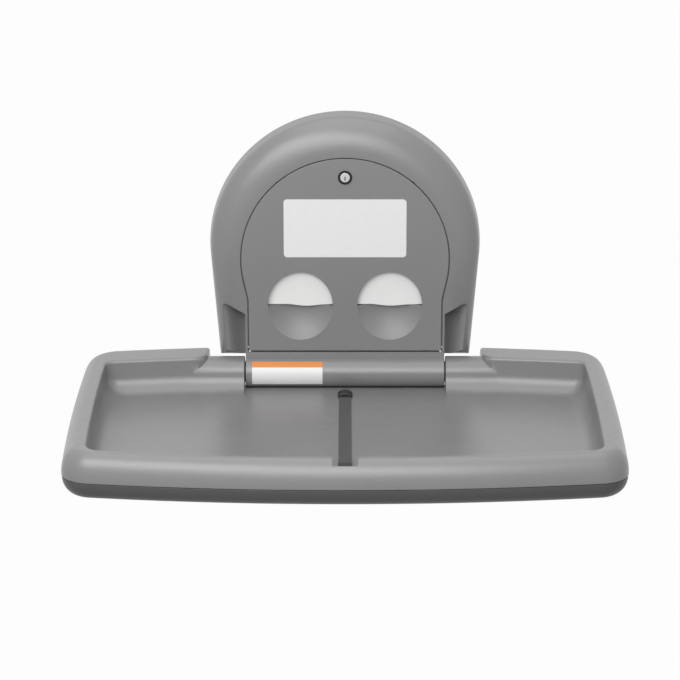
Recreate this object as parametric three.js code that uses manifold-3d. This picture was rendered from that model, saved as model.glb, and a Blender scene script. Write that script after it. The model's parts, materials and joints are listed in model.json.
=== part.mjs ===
// Wall-mounted baby changing station: arched wall body with a liner dispenser, and a fold-down bed.
// Millimetres. X right, Y towards the wall, Z up. The wall is y = 0 and the hinge axis is at z = 0.
// Plan positions are given as t, the distance in front of the hinge axis.
import * as THREE from 'three';
import { mergeVertices } from 'three/addons/utils/BufferGeometryUtils.js';
import Module from 'manifold-3d';

const wasm = await Module();
wasm.setup();

const degrees = (angle) => angle * Math.PI / 180;

// Bed: overall sizes
const BED_WIDTH = 910;
const BED_DEPTH = 588;
const AXIS_TO_WALL = 52;
const AXIS_TO_BACK_EDGE = 46;
const RIM_HEIGHT = 33;
const SEAM_DROP = 13;
const FLOOR_DROP = 24;
const UNDERSIDE_DROP = 44.5;
const ROLL_RADIUS = 27;
const SWING_GAP = 2.5;
const FOLD = degrees(88);

// Bed: plan and edge shapes
const SIDE_RIM = 41;
const FRONT_RIM = 34;
const FRONT_BOW_RADIUS = 2930;
const BACK_BOW_RADIUS = 2730;
const SIDE_BOW_RADIUS = 6660;
const SIDE_BOW_MIDDLE = 232;
const FRONT_CORNER = 52;
const BACK_CORNER = 63;
const POCKET_CORNER = 30;
const POCKET_BACK_CORNER = 18;
const POCKET_DRAFT = 31;
const POCKET_FILLET = 30;
const RIM_ROUND = 26;
const RIM_RISE = 43;
const BACK_ROUND = 16;
const BACK_RISE = 20;
const PAN_STEP = 0.8;
const PAN_LIP = 2;
const PAN_ROUND = 25;
const SHOULDER_INSET = 3.5;
const SHOULDER_SPREAD = 26;
const NOTCH_SIDE_GAP = 2;
const TROUGH_BACK = 10;
const ROLL_LAP = 20;
const ROLL_WEB = 4;
const ROLL_TURN = degrees(14);

// Bed: screws, arms and bolts
const SCREW_FROM_SIDE = 92;
const SCREW_FROM_AXIS = 108;
const SCREW_FROM_FRONT = 108;
const FRONT_SCREW_X = 160;
const FRONT_SCREW_FROM_FRONT = 76;
const MIDDLE_SCREW_X = 92;
const MIDDLE_SCREW_T = 163;
const SCREW_RADIUS = 2;
const SCREW_HEAD = 4;
const SCREW_HEAD_HEIGHT = 1.6;
const POST_WALL = 2.7;
const ARM_OFFSET = 16;
const ARM_WIDTH = 36;
const ARM_LENGTH = 217;
const ARM_START = 22;
const ARM_DROP = 1.5;
const ARM_THICK = 4;
const ARM_BOLT_SPACING = 80;
const ARM_BOLT_FROM_END = 20;
const ARM_BOLT_RADIUS = 3;
const ARM_BOLT_HEAD = 5;
const ARM_POST_WALL = 3.6;
const CLAMP_WALL = 4;
const WEB_WIDTH = 8;
const WEB_HALF = 8.4;
const WEB_BACK = 6;
const WEB_CLEAR = 14;
const WEB_FRONT = 40;
const SHAFT_PIN_INSET = 6;
const SHAFT_PIN_RADIUS = 2;
const WASHER_RADIUS = 18;

// Strap, its hood, its bar and its buckle
const STRAP_WIDTH = 21;
const STRAP_THICKNESS = 1.5;
const STRAP_LIFT = 0.4;
const STRAP_SETBACK = 36;
const STRAP_TUCK = 40;
const STRAP_RAMP = 16;
const STRAP_PLATE_SETBACK = 26;
const STRAP_PLATE_LENGTH = 24;
const STRAP_PLATE_LAP = 10;
const STRAP_PLATE_THICK = 2;
const STRAP_SCREW_OUT = 5;
const STRAP_SCREW_RADIUS = 1.5;
const STRAP_SCREW_HEAD = 3.2;
const STRAP_POST_WALL = 1.7;
const SLOT_MARGIN = 2;
const CATCH_SIDE_GAP = 10;
const CATCH_WALL = 16;
const CATCH_LIP_WALL = 10;
const CATCH_LIP_FLOOR = 4;
const BAR_SETBACK = 18;
const BAR_RADIUS = 3;
const BAR_SAG = 0.6;
const HOOD_BACK = 9;
const HOOD_FRONT = 19;
const HOOD_HEIGHT = 10;
const HOOD_MOUTH = 4;
const HOOD_WALL = 1.7;
const HOOD_SIDE_GAP = 0.5;
const BUCKLE_LENGTH = 38;
const BUCKLE_TO_BAR = 38;
const BUCKLE_TRAVEL = 30;
const BUCKLE_BASE = 2;
const BUCKLE_WALL = 3.5;
const BUCKLE_SIDE_GAP = 0.8;
const BUCKLE_TAIL = 6;
const CHEEK_BACK_HEIGHT = 5;
const LEVER_PIN_SETBACK = 11;
const LEVER_PIN_LIFT = 5.2;
const LEVER_PIN_RADIUS = 1.5;
const LEVER_NOSE = 4.2;
const LEVER_THICK = 2;
const LEVER_OVERHANG = 2;

// Wall body
const BODY_RADIUS = 233.5;
const BODY_CENTRE = 219;
const BODY_TAPER = degrees(4.7);
const BODY_BOTTOM = 23;
const FACE = 8;
const RING_ROUND = 46;
const RING_DEPTH = 38;
const RING_DRAFT = 2;
const ARCH_DROP_RATE = 0.3;
const FOOT_RISE_RATE = 1;
const RECESS_DEPTH = 30;
const RECESS_TOP = 101;
const RECESS_SLOPE = 0.8;
const COLUMN_HALF = 172;
const BODY_POST_RADIUS = 7;
const BODY_POST_INSET = 8;
const BODY_POST_RISE = 34.5;
const TOP_POST_INSET = 2.5;
const TOP_POST_ANGLE = degrees(49.5);
const BODY_SCREW_HEAD = 4.4;
const BODY_SCREW_HEIGHT = 2.6;
const SCREW_POCKET = 4;

// Dispenser door
const DOOR_FRAME = 5.7;
const DOOR_TO_EDGE = 55.5;
const DOOR_CENTRE = 205;
const DOOR_ARC_LEAN = degrees(11.5);
const DOOR_STRAIGHT_TOP = 132;
const DOOR_BOTTOM = 40.5;
const DOOR_THICKNESS = 4.5;
const DOOR_GAP = 1.2;
const DOOR_FOOT_GAP = 2.4;
const DOOR_LEDGE = 6;
const WINDOW_X = 77;
const WINDOW_Z = 121.5;
const WINDOW_HALF_WIDTH = 56;
const WINDOW_HALF_HEIGHT = 61;
const SCOOP_DEPTH = 19;
const SCOOP_WALL = 2.5;
const PIVOT_SETBACK = 5;
const PIVOT_RADIUS = 2;
const LUG_HALF = 5.5;
const LUG_BACK = 6;
const LUG_WIDTH = 13;
const LUG_INSET = 1.3;
const PIN_END_WALL = 1.4;
const LABEL_WIDTH = 210;
const LABEL_HEIGHT = 105;
const LABEL_Z = 259.5;
const LABEL_CORNER = 6;
const LABEL_RECESS = 0.6;
const LABEL_PROUD = 0.3;
const STICKER_LEFT = -161;
const STICKER_RIGHT = -39;
const STICKER_TOP = degrees(57);
const STICKER_FOOT = degrees(-35);
const STICKER_THICK = 0.3;

// Cam lock
const LOCK_TO_DOOR_TOP = 32.5;
const LOCK_RADIUS = 12;
const LOCK_FLANGE = 1.5;
const LOCK_RING = 3;
const LOCK_PROUD = 2;
const PLUG_PROUD = 1.6;
const NUT_THICK = 5;
const NUT_LAP = 4;
const CAM_GAP = 1;
const CAM_THICK = 2.5;
const CAM_HALF = 8;
const CAM_LAP = 5;
const CAM_STUB = 4;
const CAM_SCREW_HEAD = 6;
const CAM_SCREW_HEIGHT = 2.1;
const CAM_SCREW_LENGTH = 4;
const KEYWAY_HALF = 0.9;
const KEYWAY_DEPTH = 8;
const KEYWAY_LOW = 5;
const KEYWAY_HIGH = 2;

// Wall plate and bushes
const PLATE = 3;
const PLATE_MARGIN = 3;
const PLATE_FOOT_MARGIN = 2;
const PLATE_TOP_DROP = 21;
const PLATE_TOP_HALF = 124;
const WALL_HOLE_X = 152;
const WALL_HOLE_LOW = 100;
const WALL_HOLE_HIGH = 210;
const TOP_HOLE_X = 60;
const TOP_HOLE_Z = 345;
const WALL_HOLE_RADIUS = 4.5;
const EAR_SETBACK = 22;
const EAR_WALL = 5;
const EAR_TOP = 65;
const EAR_THROAT = 4;
const BUSH_WALL = 3;
const BUSH_FLANGE = 3;
const BUSH_HALF = 6;

// Liner bin and liners
const BIN_WALL = 2;
const BIN_OUTER_MARGIN = 9;
const BIN_INNER_MARGIN = 5;
const BIN_SCOOP_GAP = 5;
const BIN_TO_LOCK = 26;
const BIN_BRIDGE = 30;
const BIN_SCREW_Z = 201.5;
const LINER_SIDE_GAP = 0.8;
const LINER_BACK_GAP = 3;
const LINER_DOOR_GAP = 4;
const LINER_TOP_GAP = 14;
const LINER_WAVE = 1.1;
const LINER_WAVES = 2.7;

// Gas spring and its crank
const CRANK_RADIUS = 20;
const CRANK_PIN = 3;
const CRANK_BOSS = 6;
const CRANK_HUB_WALL = 5;
const CRANK_WIDTH = 8.4;
const CRANK_TO_YOKE = 2;
const YOKE_HALF_WIDTH = 5;
const YOKE_HALF_HEIGHT = 7.5;
const YOKE_WALL = 2.3;
const YOKE_PLAY = 0.35;
const YOKE_NECK = 6.5;
const YOKE_NECK_TOP = 18;
const ROD_SEAT = 9;
const ROD_RADIUS = 4;
const ROD_INSIDE = 66;
const CYLINDER_RADIUS = 9;
const CYLINDER_LENGTH = 150;
const CYLINDER_CAP = 12;
const CYLINDER_TO_YOKE = 56;
const EYE_RADIUS = 7;
const EYE_RISE = 14;
const EYE_NECK = 5;
const GAS_PIN = 3;
const BRACKET_INSIDE = 8;
const BRACKET_WALL = 2.5;
const BRACKET_BASE_HALF = 12;
const BRACKET_HALF = 9;
const BRACKET_BASE_RISE = 18;

// Walls and fits
const SKIN = 3.5;
const FIT = 0.3;
const SEAT = 0.05;
const BORE_GAP = 0.4;
const SHAFT_RADIUS = 8;
const SHAFT_BEYOND_ARM = 74;
const KNUCKLE_GAP = 2;
const CUT = 5;

// Values that follow from the sizes above
const BED_HALF = BED_WIDTH / 2;
const BED_FRONT = BED_DEPTH - AXIS_TO_BACK_EDGE;
const FLOOR = -FLOOR_DROP;
const FLOOR_UNDER = FLOOR - SKIN;
const SEAM = -SEAM_DROP;
const UNDERSIDE = -UNDERSIDE_DROP;
const WALL = -AXIS_TO_WALL;
const KNUCKLE = COLUMN_HALF + KNUCKLE_GAP;
const SHOULDER_BACK = BODY_RADIUS - SHOULDER_INSET;
const SHOULDER_FRONT = SHOULDER_BACK + SHOULDER_SPREAD;
const FOOT_RISE = FLOOR + POCKET_FILLET;
const FOOT_REACH = Math.sqrt((ROLL_RADIUS + POCKET_FILLET) ** 2 - FOOT_RISE ** 2);
const POCKET_BACK = FOOT_REACH - POCKET_DRAFT;
const NOTCH_SWING = ROLL_RADIUS + SWING_GAP;
const NOTCH_FRONT = Math.sqrt(Math.max(NOTCH_SWING ** 2 - FLOOR_DROP ** 2, (2 * FIT) ** 2));
const DOOR_HALF = COLUMN_HALF - DOOR_FRAME;
const DOOR_RADIUS = BODY_RADIUS - DOOR_TO_EDGE;
const DOOR_BACK = FACE - DOOR_THICKNESS;
const DOOR_FOOT = DOOR_BOTTOM - DOOR_FOOT_GAP;
const LOCK_Z = DOOR_CENTRE + DOOR_RADIUS - LOCK_TO_DOOR_TOP;
const LEDGE_FRONT = DOOR_BACK - FIT;
const LEDGE_BACK = LEDGE_FRONT - SKIN;
const PLATE_FRONT = WALL + PLATE;

const toY = (t) => -AXIS_TO_WALL - t;

// Solids

function solidOf(geometry) {
  geometry.deleteAttribute('uv');
  geometry.deleteAttribute('normal');
  const merged = mergeVertices(geometry, 1e-4);
  return new wasm.Manifold(new wasm.Mesh({
    numProp: 3,
    vertProperties: new Float32Array(merged.attributes.position.array),
    triVerts: new Uint32Array(merged.index.array),
  }));
}

function extruded(points, length, uAxis, vAxis, origin) {
  const shape = new THREE.Shape(points.map(([u, v]) => new THREE.Vector2(u, v)));
  const geometry = new THREE.ExtrudeGeometry(shape, { depth: length, bevelEnabled: false });
  const wAxis = new THREE.Vector3().crossVectors(uAxis, vAxis);
  geometry.applyMatrix4(new THREE.Matrix4().makeBasis(uAxis, vAxis, wAxis).setPosition(origin));
  return solidOf(geometry);
}

const X = new THREE.Vector3(1, 0, 0);
const Y = new THREE.Vector3(0, 1, 0);
const Z = new THREE.Vector3(0, 0, 1);

// Profile of [t, z] points carried from x0 to x1
const alongX = (points, x0, x1) =>
  extruded(points.map(([t, z]) => [toY(t), z]), x1 - x0, Y, Z, new THREE.Vector3(x0, 0, 0));

// Profile of [x, z] points carried forward from t0 to t1
const alongY = (points, t0, t1) => extruded(points, t1 - t0, X, Z, new THREE.Vector3(0, toY(t0), 0));

// Profile of [x, t] points carried up from z0 to z1
const alongZ = (points, z0, z1) =>
  extruded(points.map(([x, t]) => [x, toY(t)]), z1 - z0, X, Y, new THREE.Vector3(0, 0, z0));

const rectangle = (u0, u1, v0, v1) => [[u0, v0], [u1, v0], [u1, v1], [u0, v1]];
const box = (x0, x1, t0, t1, z0, z1) => alongZ(rectangle(x0, x1, t0, t1), z0, z1);

function arc(u, v, radius, from, to, steps) {
  const points = [];
  for (let i = 0; i <= steps; i += 1) {
    const angle = from + (to - from) * i / steps;
    points.push([u + radius * Math.cos(angle), v + radius * Math.sin(angle)]);
  }
  return points;
}

const circle = (u, v, radius, steps) => arc(u, v, radius, 0, 2 * Math.PI, steps).slice(0, steps);
const ROUND_STEPS = 20;
const SMALL_STEPS = 12;
const rodX = (radius, t, z, x0, x1, steps = ROUND_STEPS) => alongX(circle(t, z, radius, steps), x0, x1);
const rodY = (radius, x, z, t0, t1, steps = ROUND_STEPS) => alongY(circle(x, z, radius, steps), t0, t1);
const rodZ = (radius, x, t, z0, z1, steps = ROUND_STEPS) => alongZ(circle(x, t, radius, steps), z0, z1);

function roundedRectangle(halfU, halfV, u, v, radius, steps) {
  const quarter = Math.PI / 2;
  return [[1, 1], [-1, 1], [-1, -1], [1, -1]].flatMap(([su, sv], i) =>
    arc(u + su * (halfU - radius), v + sv * (halfV - radius), radius, i * quarter, (i + 1) * quarter, steps));
}

// Closed solid through rings of equally many points, capped at both ends
function loft(rings, flatten) {
  const count = rings[0].length;
  const triangles = [];
  const corner = (ring, i) => rings[ring][i % count];
  for (let r = 0; r + 1 < rings.length; r += 1) {
    for (let i = 0; i < count; i += 1) {
      triangles.push(corner(r, i), corner(r, i + 1), corner(r + 1, i + 1));
      triangles.push(corner(r, i), corner(r + 1, i + 1), corner(r + 1, i));
    }
  }
  for (const [ring, flip] of [[0, true], [rings.length - 1, false]]) {
    const flat = rings[ring].map((p) => new THREE.Vector2(...flatten(p)));
    const clockwise = THREE.ShapeUtils.isClockWise(flat);
    for (const [a, b, c] of THREE.ShapeUtils.triangulateShape(flat, [])) {
      const order = flip === clockwise ? [a, b, c] : [a, c, b];
      triangles.push(...order.map((i) => rings[ring][i]));
    }
  }
  const volume = triangles.reduce((sum, p, i) =>
    (i % 3 === 0 ? sum + p.dot(new THREE.Vector3().crossVectors(triangles[i + 1], triangles[i + 2])) : sum), 0);
  const outward = [];
  for (let i = 0; i < triangles.length; i += 3) {
    const [a, b, c] = triangles.slice(i, i + 3);
    outward.push(...(volume < 0 ? [a, c, b] : [a, b, c]));
  }
  return solidOf(new THREE.BufferGeometry().setFromPoints(outward));
}

const stackUp = (levels) => loft(
  levels.map(([outline, z]) => outline.map(([x, t]) => new THREE.Vector3(x, toY(t), z))), (p) => [p.x, p.y]);
const stackForward = (levels) => loft(
  levels.map(([outline, t]) => outline.map(([x, z]) => new THREE.Vector3(x, toY(t), z))), (p) => [p.x, p.z]);

const mirrored = (solid) => solid.mirror([1, 0, 0]);
const bothSides = (solid) => solid.add(mirrored(solid));

const group = new THREE.Group();

function add(name, solid, color, roughness, metalness = 0) {
  const { vertProperties, triVerts } = solid.getMesh();
  const geometry = new THREE.BufferGeometry();
  geometry.setAttribute('position', new THREE.BufferAttribute(new Float32Array(vertProperties), 3));
  geometry.setIndex(new THREE.BufferAttribute(new Uint32Array(triVerts), 1));
  geometry.computeVertexNormals();
  const mesh = new THREE.Mesh(geometry, new THREE.MeshStandardMaterial({ color, roughness, metalness }));
  mesh.name = name;
  group.add(mesh);
}

const addPair = (name, solid, ...finish) => {
  add(`${name}_left`, mirrored(solid), ...finish);
  add(`${name}_right`, solid, ...finish);
};

const GREY = [0x8f9092, 0.55];
const DARK_GREY = [0x6f7072, 0.55];
const BLACK = [0x222326, 0.5];
const WHITE = [0xf0f0ec, 0.5];
const WEBBING = [0x4a4a4c, 0.9];
const STEEL = [0xb4b7ba, 0.35, 1];

// Bed outlines

// Half outline ending on the middle line, closed by its mirror image
const mirrorHalf = (half) => [...half, ...half.slice(0, -1).map(([x, t]) => [-x, t]).reverse()];

const CORNER_STEPS = 6;
const BOW_STEPS = 5;
const SIDE_STEPS = 3;

// Right-hand point where two circles cross
function crossing([ax, at], aRadius, [bx, bt], bRadius) {
  const distance = Math.hypot(bx - ax, bt - at);
  const unit = [(bx - ax) / distance, (bt - at) / distance];
  const along = (aRadius ** 2 - bRadius ** 2 + distance ** 2) / (2 * distance);
  const height = Math.sqrt(aRadius ** 2 - along ** 2);
  const points = [height, -height].map((h) =>
    [ax + unit[0] * along - unit[1] * h, at + unit[1] * along + unit[0] * h]);
  return points[0][0] > points[1][0] ? points[0] : points[1];
}

const angleTo = (from, to) => Math.atan2(to[1] - from[1], to[0] - from[0]);

const SIDE_BOW = [BED_HALF - SIDE_BOW_RADIUS, SIDE_BOW_MIDDLE];
const FRONT_BOW = [0, BED_FRONT - FRONT_BOW_RADIUS];

// Plan with bowed sides, front and back: back is the back edge's place at x = backX
function bowedPlan(inset, backInset, rims, backX, back, frontCorner, backCorner) {
  const sideRadius = SIDE_BOW_RADIUS - rims[0] - inset;
  const frontRadius = FRONT_BOW_RADIUS - rims[1] - inset;
  const backRadius = BACK_BOW_RADIUS - backInset;
  const backBow = [0, back + Math.sqrt(BACK_BOW_RADIUS ** 2 - backX ** 2)];
  const frontAt = crossing(SIDE_BOW, sideRadius - frontCorner, FRONT_BOW, frontRadius - frontCorner);
  const backAt = crossing(SIDE_BOW, sideRadius - backCorner, backBow, backRadius - backCorner);
  const backStart = -Math.acos(SHOULDER_BACK / backRadius);
  const backEnd = angleTo(backBow, backAt);
  const sideStart = angleTo(SIDE_BOW, backAt);
  const sideEnd = angleTo(SIDE_BOW, frontAt);
  const frontEnd = angleTo(FRONT_BOW, frontAt);
  return mirrorHalf([
    ...arc(...backBow, backRadius, backStart, backEnd, SIDE_STEPS),
    ...arc(...backAt, backCorner, backEnd, sideStart, BOW_STEPS).slice(1),
    ...arc(...SIDE_BOW, sideRadius, sideStart, 0, SIDE_STEPS).slice(1),
    ...arc(...SIDE_BOW, sideRadius, 0, sideEnd, SIDE_STEPS).slice(1),
    ...arc(...frontAt, frontCorner, sideEnd, frontEnd, CORNER_STEPS).slice(1),
    ...arc(...FRONT_BOW, frontRadius, frontEnd, Math.PI / 2, BOW_STEPS).slice(1),
  ]);
}

// Outer plan of the bed, drawn in by inset at the sides and front and by backInset at the back
const bedOutline = (inset, backInset = inset) => bowedPlan(inset, backInset, [0, 0], SHOULDER_BACK,
  -AXIS_TO_BACK_EDGE, FRONT_CORNER - inset, BACK_CORNER - inset);

const POCKET_HALF = BED_HALF - SIDE_RIM;
const POCKET_FRONT = BED_FRONT - FRONT_RIM;

// Plan of the hollow that the child lies in, drawn in by inset all round
const pocketOutline = (inset) => bowedPlan(inset, inset, [SIDE_RIM, FRONT_RIM], SHOULDER_FRONT,
  POCKET_BACK, POCKET_CORNER, POCKET_BACK_CORNER);

// Inset of a rounded rim at height z
function rimInset(round, rise, z) {
  const up = Math.max(0, (z - RIM_HEIGHT + rise) / rise);
  return round * (1 - Math.sqrt(Math.max(0, 1 - up ** 2)));
}

// Rounded nose of the rim: [inset, back inset, z] from the seam up to the rim top
function rimNose(steps) {
  const springing = RIM_HEIGHT - RIM_RISE;
  const nose = arc(0, 0, 1, 0, Math.PI / 2, steps).map(([c, s]) => {
    const z = springing + RIM_RISE * s;
    return [RIM_ROUND * (1 - c), rimInset(BACK_ROUND, BACK_RISE, z), z];
  });
  return [[0, 0, SEAM], ...nose];
}

// Rounded edge of the lower pan: [inset, z] from the seam down to the underside
function panNose(steps) {
  const springing = SEAM - PAN_LIP;
  const nose = arc(0, 0, 1, 0, Math.PI / 2, steps).map(([c, s]) =>
    [PAN_STEP + PAN_ROUND * (1 - c), springing + (UNDERSIDE - springing) * s]);
  return [[PAN_STEP, SEAM - FIT], ...nose];
}

// Pocket wall: [inset, z] from the rim down to the floor
function pocketWall(steps) {
  const foot = POCKET_DRAFT - POCKET_FILLET;
  const curve = arc(0, 0, 1, Math.PI, Math.PI * 1.5, steps).map(([c, s]) =>
    [foot + POCKET_FILLET * (1 + c), FLOOR + POCKET_FILLET * (1 + s)]);
  return [[0, RIM_HEIGHT], ...curve];
}

// Hinge roll: skin profile of [t, z] points over the top, down a hollow foot and onto the floor
function rollSkin(outer, inner) {
  const steps = 14;
  const footSteps = 4;
  const back = Math.PI + Math.asin(SEAM_DROP / ROLL_RADIUS);
  const meet = Math.atan2(FOOT_RISE, FOOT_REACH);
  const footRadius = POCKET_FILLET + ROLL_RADIUS - outer;
  const over = arc(0, 0, outer, back, meet, steps);
  const foot = arc(FOOT_REACH, FOOT_RISE, footRadius, Math.PI + meet, Math.PI * 1.5, footSteps);
  const under = arc(0, 0, inner, -ROLL_TURN, back, steps);
  return [...over, ...foot.slice(1), [FOOT_REACH, FLOOR_UNDER], [inner + ROLL_WEB, FLOOR_UNDER], ...under];
}

// Plan of the cut-out that lets the bed turn round the hinge barrel and lie beside the wall body
function notchPlan() {
  const outer = SHOULDER_BACK + NOTCH_SIDE_GAP;
  const behind = 2 * WALL;
  return [[-outer, behind], [-outer, -ROLL_RADIUS], [-KNUCKLE, -ROLL_RADIUS], [-KNUCKLE, NOTCH_FRONT],
    [KNUCKLE, NOTCH_FRONT], [KNUCKLE, -ROLL_RADIUS], [outer, -ROLL_RADIUS], [outer, behind]];
}

// Strap run

const STRAP_HALF = STRAP_WIDTH / 2;
const STRAP_SLOT = NOTCH_FRONT + STRAP_SETBACK;
const CATCH_HALF = STRAP_HALF + CATCH_SIDE_GAP;
const CATCH_FRONT = BED_FRONT - CATCH_WALL;
const BAR_T = CATCH_FRONT - BAR_SETBACK;
const LOW_RUN = FLOOR + STRAP_LIFT + STRAP_THICKNESS / 2;
const HIGH_RUN = LOW_RUN + BUCKLE_BASE + FIT;
const TAIL_RUN = HIGH_RUN + STRAP_THICKNESS + STRAP_LIFT;
const UNDER_RUN = FLOOR_UNDER - STRAP_LIFT - STRAP_THICKNESS / 2;
const BEND_RADIUS = (LOW_RUN - UNDER_RUN) / 2;
const BAR_WRAP = BAR_RADIUS + STRAP_LIFT + STRAP_THICKNESS / 2;
const BAR_Z = HIGH_RUN + BAR_WRAP - BAR_SAG;
const BUCKLE_FRONT = BAR_T - BUCKLE_TO_BAR;
const BUCKLE_BACK = BUCKLE_FRONT - BUCKLE_LENGTH;
const TAIL_END = BUCKLE_BACK - BUCKLE_TRAVEL - BUCKLE_TAIL;
const BAR_APPROACH = BUCKLE_FRONT + BUCKLE_TO_BAR / 4;

// Side outline of a band of even thickness along a line of [t, z] points
function ribbon(line, thickness) {
  const sides = [1, -1].map((sign) => line.map((point, i) => {
    const before = line[Math.max(i - 1, 0)];
    const after = line[Math.min(i + 1, line.length - 1)];
    const direction = new THREE.Vector2(after[0] - before[0], after[1] - before[1]).normalize();
    return [point[0] - sign * direction.y * thickness / 2, point[1] + sign * direction.x * thickness / 2];
  }));
  return [...sides[0], ...sides[1].reverse()];
}

// Middle line of the strap: under the floor, up through the slot, forward, round the bar and back
function strapLine() {
  const steps = 8;
  const bendT = STRAP_SLOT + BEND_RADIUS;
  const rampEnd = TAIL_END - STRAP_RAMP;
  return [
    [STRAP_SLOT + STRAP_TUCK, UNDER_RUN],
    ...arc(bendT, (LOW_RUN + UNDER_RUN) / 2, BEND_RADIUS, -Math.PI / 2, -Math.PI * 1.5, steps),
    [rampEnd - STRAP_RAMP, LOW_RUN], [rampEnd, HIGH_RUN], [BAR_APPROACH, HIGH_RUN],
    ...arc(BAR_T, BAR_Z, BAR_WRAP, -Math.PI / 2, Math.PI / 2, steps),
    [BAR_APPROACH, TAIL_RUN], [TAIL_END, TAIL_RUN],
  ];
}

// Bed shells

const SCREW_HOLE = SCREW_RADIUS + FIT;
const HEAD_POCKET = SCREW_HEAD_HEIGHT + FIT;
const ROOF = FLOOR - SKIN / 2;
const bedScrewPlaces = [
  [BED_HALF - SCREW_FROM_SIDE, SCREW_FROM_AXIS],
  [BED_HALF - SCREW_FROM_SIDE, BED_FRONT - SCREW_FROM_FRONT],
  [FRONT_SCREW_X, BED_FRONT - FRONT_SCREW_FROM_FRONT],
  [MIDDLE_SCREW_X, MIDDLE_SCREW_T],
].flatMap(([x, t]) => [[x, t], [-x, t]]);
const ARM_X0 = KNUCKLE + ARM_OFFSET;
const ARM_X1 = ARM_X0 + ARM_WIDTH;
const ARM_MIDDLE = (ARM_X0 + ARM_X1) / 2;
const ARM_TOP = FLOOR_UNDER - ARM_DROP;
const LAST_BOLT = ARM_LENGTH - ARM_BOLT_FROM_END;
const armBoltPlaces = [LAST_BOLT - ARM_BOLT_SPACING, LAST_BOLT];
const ARM_BOLT_HOLE = ARM_BOLT_RADIUS + BORE_GAP;
const STRAP_SCREW_HOLE = STRAP_SCREW_RADIUS + FIT;
const strapScrewPlace = [STRAP_HALF + STRAP_SCREW_OUT, STRAP_SLOT + STRAP_PLATE_SETBACK];
const STRAP_PLATE_TOP = UNDER_RUN - STRAP_THICKNESS / 2 - FIT;

const NOSE_STEPS = 5;
const PAN_STEPS = 4;

const panLevels = panNose(PAN_STEPS).map(([inset, z]) => [bedOutline(inset), z]);
const rimLevels = rimNose(NOSE_STEPS).map(([inset, backInset, z]) => [bedOutline(inset, backInset), z]);
const bedEnvelope = stackUp([...panLevels.slice().reverse(), ...rimLevels.slice(1)]);

const pocketLevels = pocketWall(PAN_STEPS).map(([inset, z]) => [pocketOutline(inset), z]);
const pocketSolid = stackUp([...pocketLevels.slice().reverse(), [pocketOutline(0), RIM_HEIGHT + CUT]]);

const FOOT_LINE = FOOT_REACH + 1;

// Plan of the gap between the shoulders, grown by grow
function shoulderPlan(grow) {
  const behind = -AXIS_TO_BACK_EDGE - CUT;
  const back = SHOULDER_BACK + grow;
  const front = SHOULDER_FRONT + grow;
  return [[-back, behind], [-front, POCKET_BACK], [-front, FOOT_LINE],
    [front, FOOT_LINE], [front, POCKET_BACK], [back, behind]];
}

// Walls that close the hollow rim at both shoulders, over the roll
function shoulderEnds() {
  const inRoll = rodX(ROLL_RADIUS - SKIN / 2, 0, 0, -BED_HALF, BED_HALF);
  const gap = alongZ(shoulderPlan(0), SEAM - CUT, RIM_HEIGHT + CUT);
  return alongZ(shoulderPlan(SKIN), SEAM, RIM_HEIGHT).subtract(gap)
    .intersect(bedEnvelope).subtract(pocketSolid).subtract(inRoll);
}

// Rim and tub, with the back opened for the roll between the shoulders
function bedRim() {
  const hollow = stackUp([[bedOutline(SKIN), SEAM - CUT],
    ...rimNose(NOSE_STEPS).slice(1).map(([inset, backInset, z]) =>
      [bedOutline(inset + SKIN, backInset + SKIN), z - SKIN])]);
  const tubLevels = pocketWall(PAN_STEPS).map(([inset, z]) => [pocketOutline(inset - SKIN), z - SKIN]);
  const tub = stackUp(tubLevels.reverse());
  const floorEdge = POCKET_HALF - POCKET_DRAFT;
  const strip = box(-floorEdge, floorEdge, NOTCH_FRONT, FOOT_LINE + CUT, FLOOR_UNDER, FLOOR);
  return stackUp(rimLevels).subtract(hollow).add(tub).subtract(pocketSolid)
    .subtract(alongZ(shoulderPlan(0), FLOOR, RIM_HEIGHT + CUT)).add(shoulderEnds()).add(strip)
    .subtract(alongZ(notchPlan(), UNDERSIDE, FLOOR));
}

function hingeRolls() {
  const roll = alongX(rollSkin(ROLL_RADIUS, ROLL_RADIUS - SKIN), KNUCKLE, SHOULDER_FRONT + ROLL_LAP);
  const endWall = alongX(rollSkin(ROLL_RADIUS, SHAFT_RADIUS + BORE_GAP), KNUCKLE, KNUCKLE + SKIN);
  return bothSides(roll.add(endWall));
}

// Well in the front rim where the strap's loose end is caught, wider in front above its lip
function catchSpace(back, grow, top) {
  const half = CATCH_HALF + grow;
  const lipFront = BED_FRONT - CATCH_LIP_WALL + grow;
  return box(-half, half, back, CATCH_FRONT + grow, FLOOR - grow, top)
    .add(box(-half, half, back, lipFront, CATCH_LIP_FLOOR - grow, top));
}

const catchWell = catchSpace(POCKET_FRONT - POCKET_FILLET, SKIN, RIM_HEIGHT)
  .intersect(bedEnvelope).subtract(pocketSolid);
const catchCut = catchSpace(POCKET_FRONT - POCKET_DRAFT - CUT, 0, RIM_HEIGHT + CUT);

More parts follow.
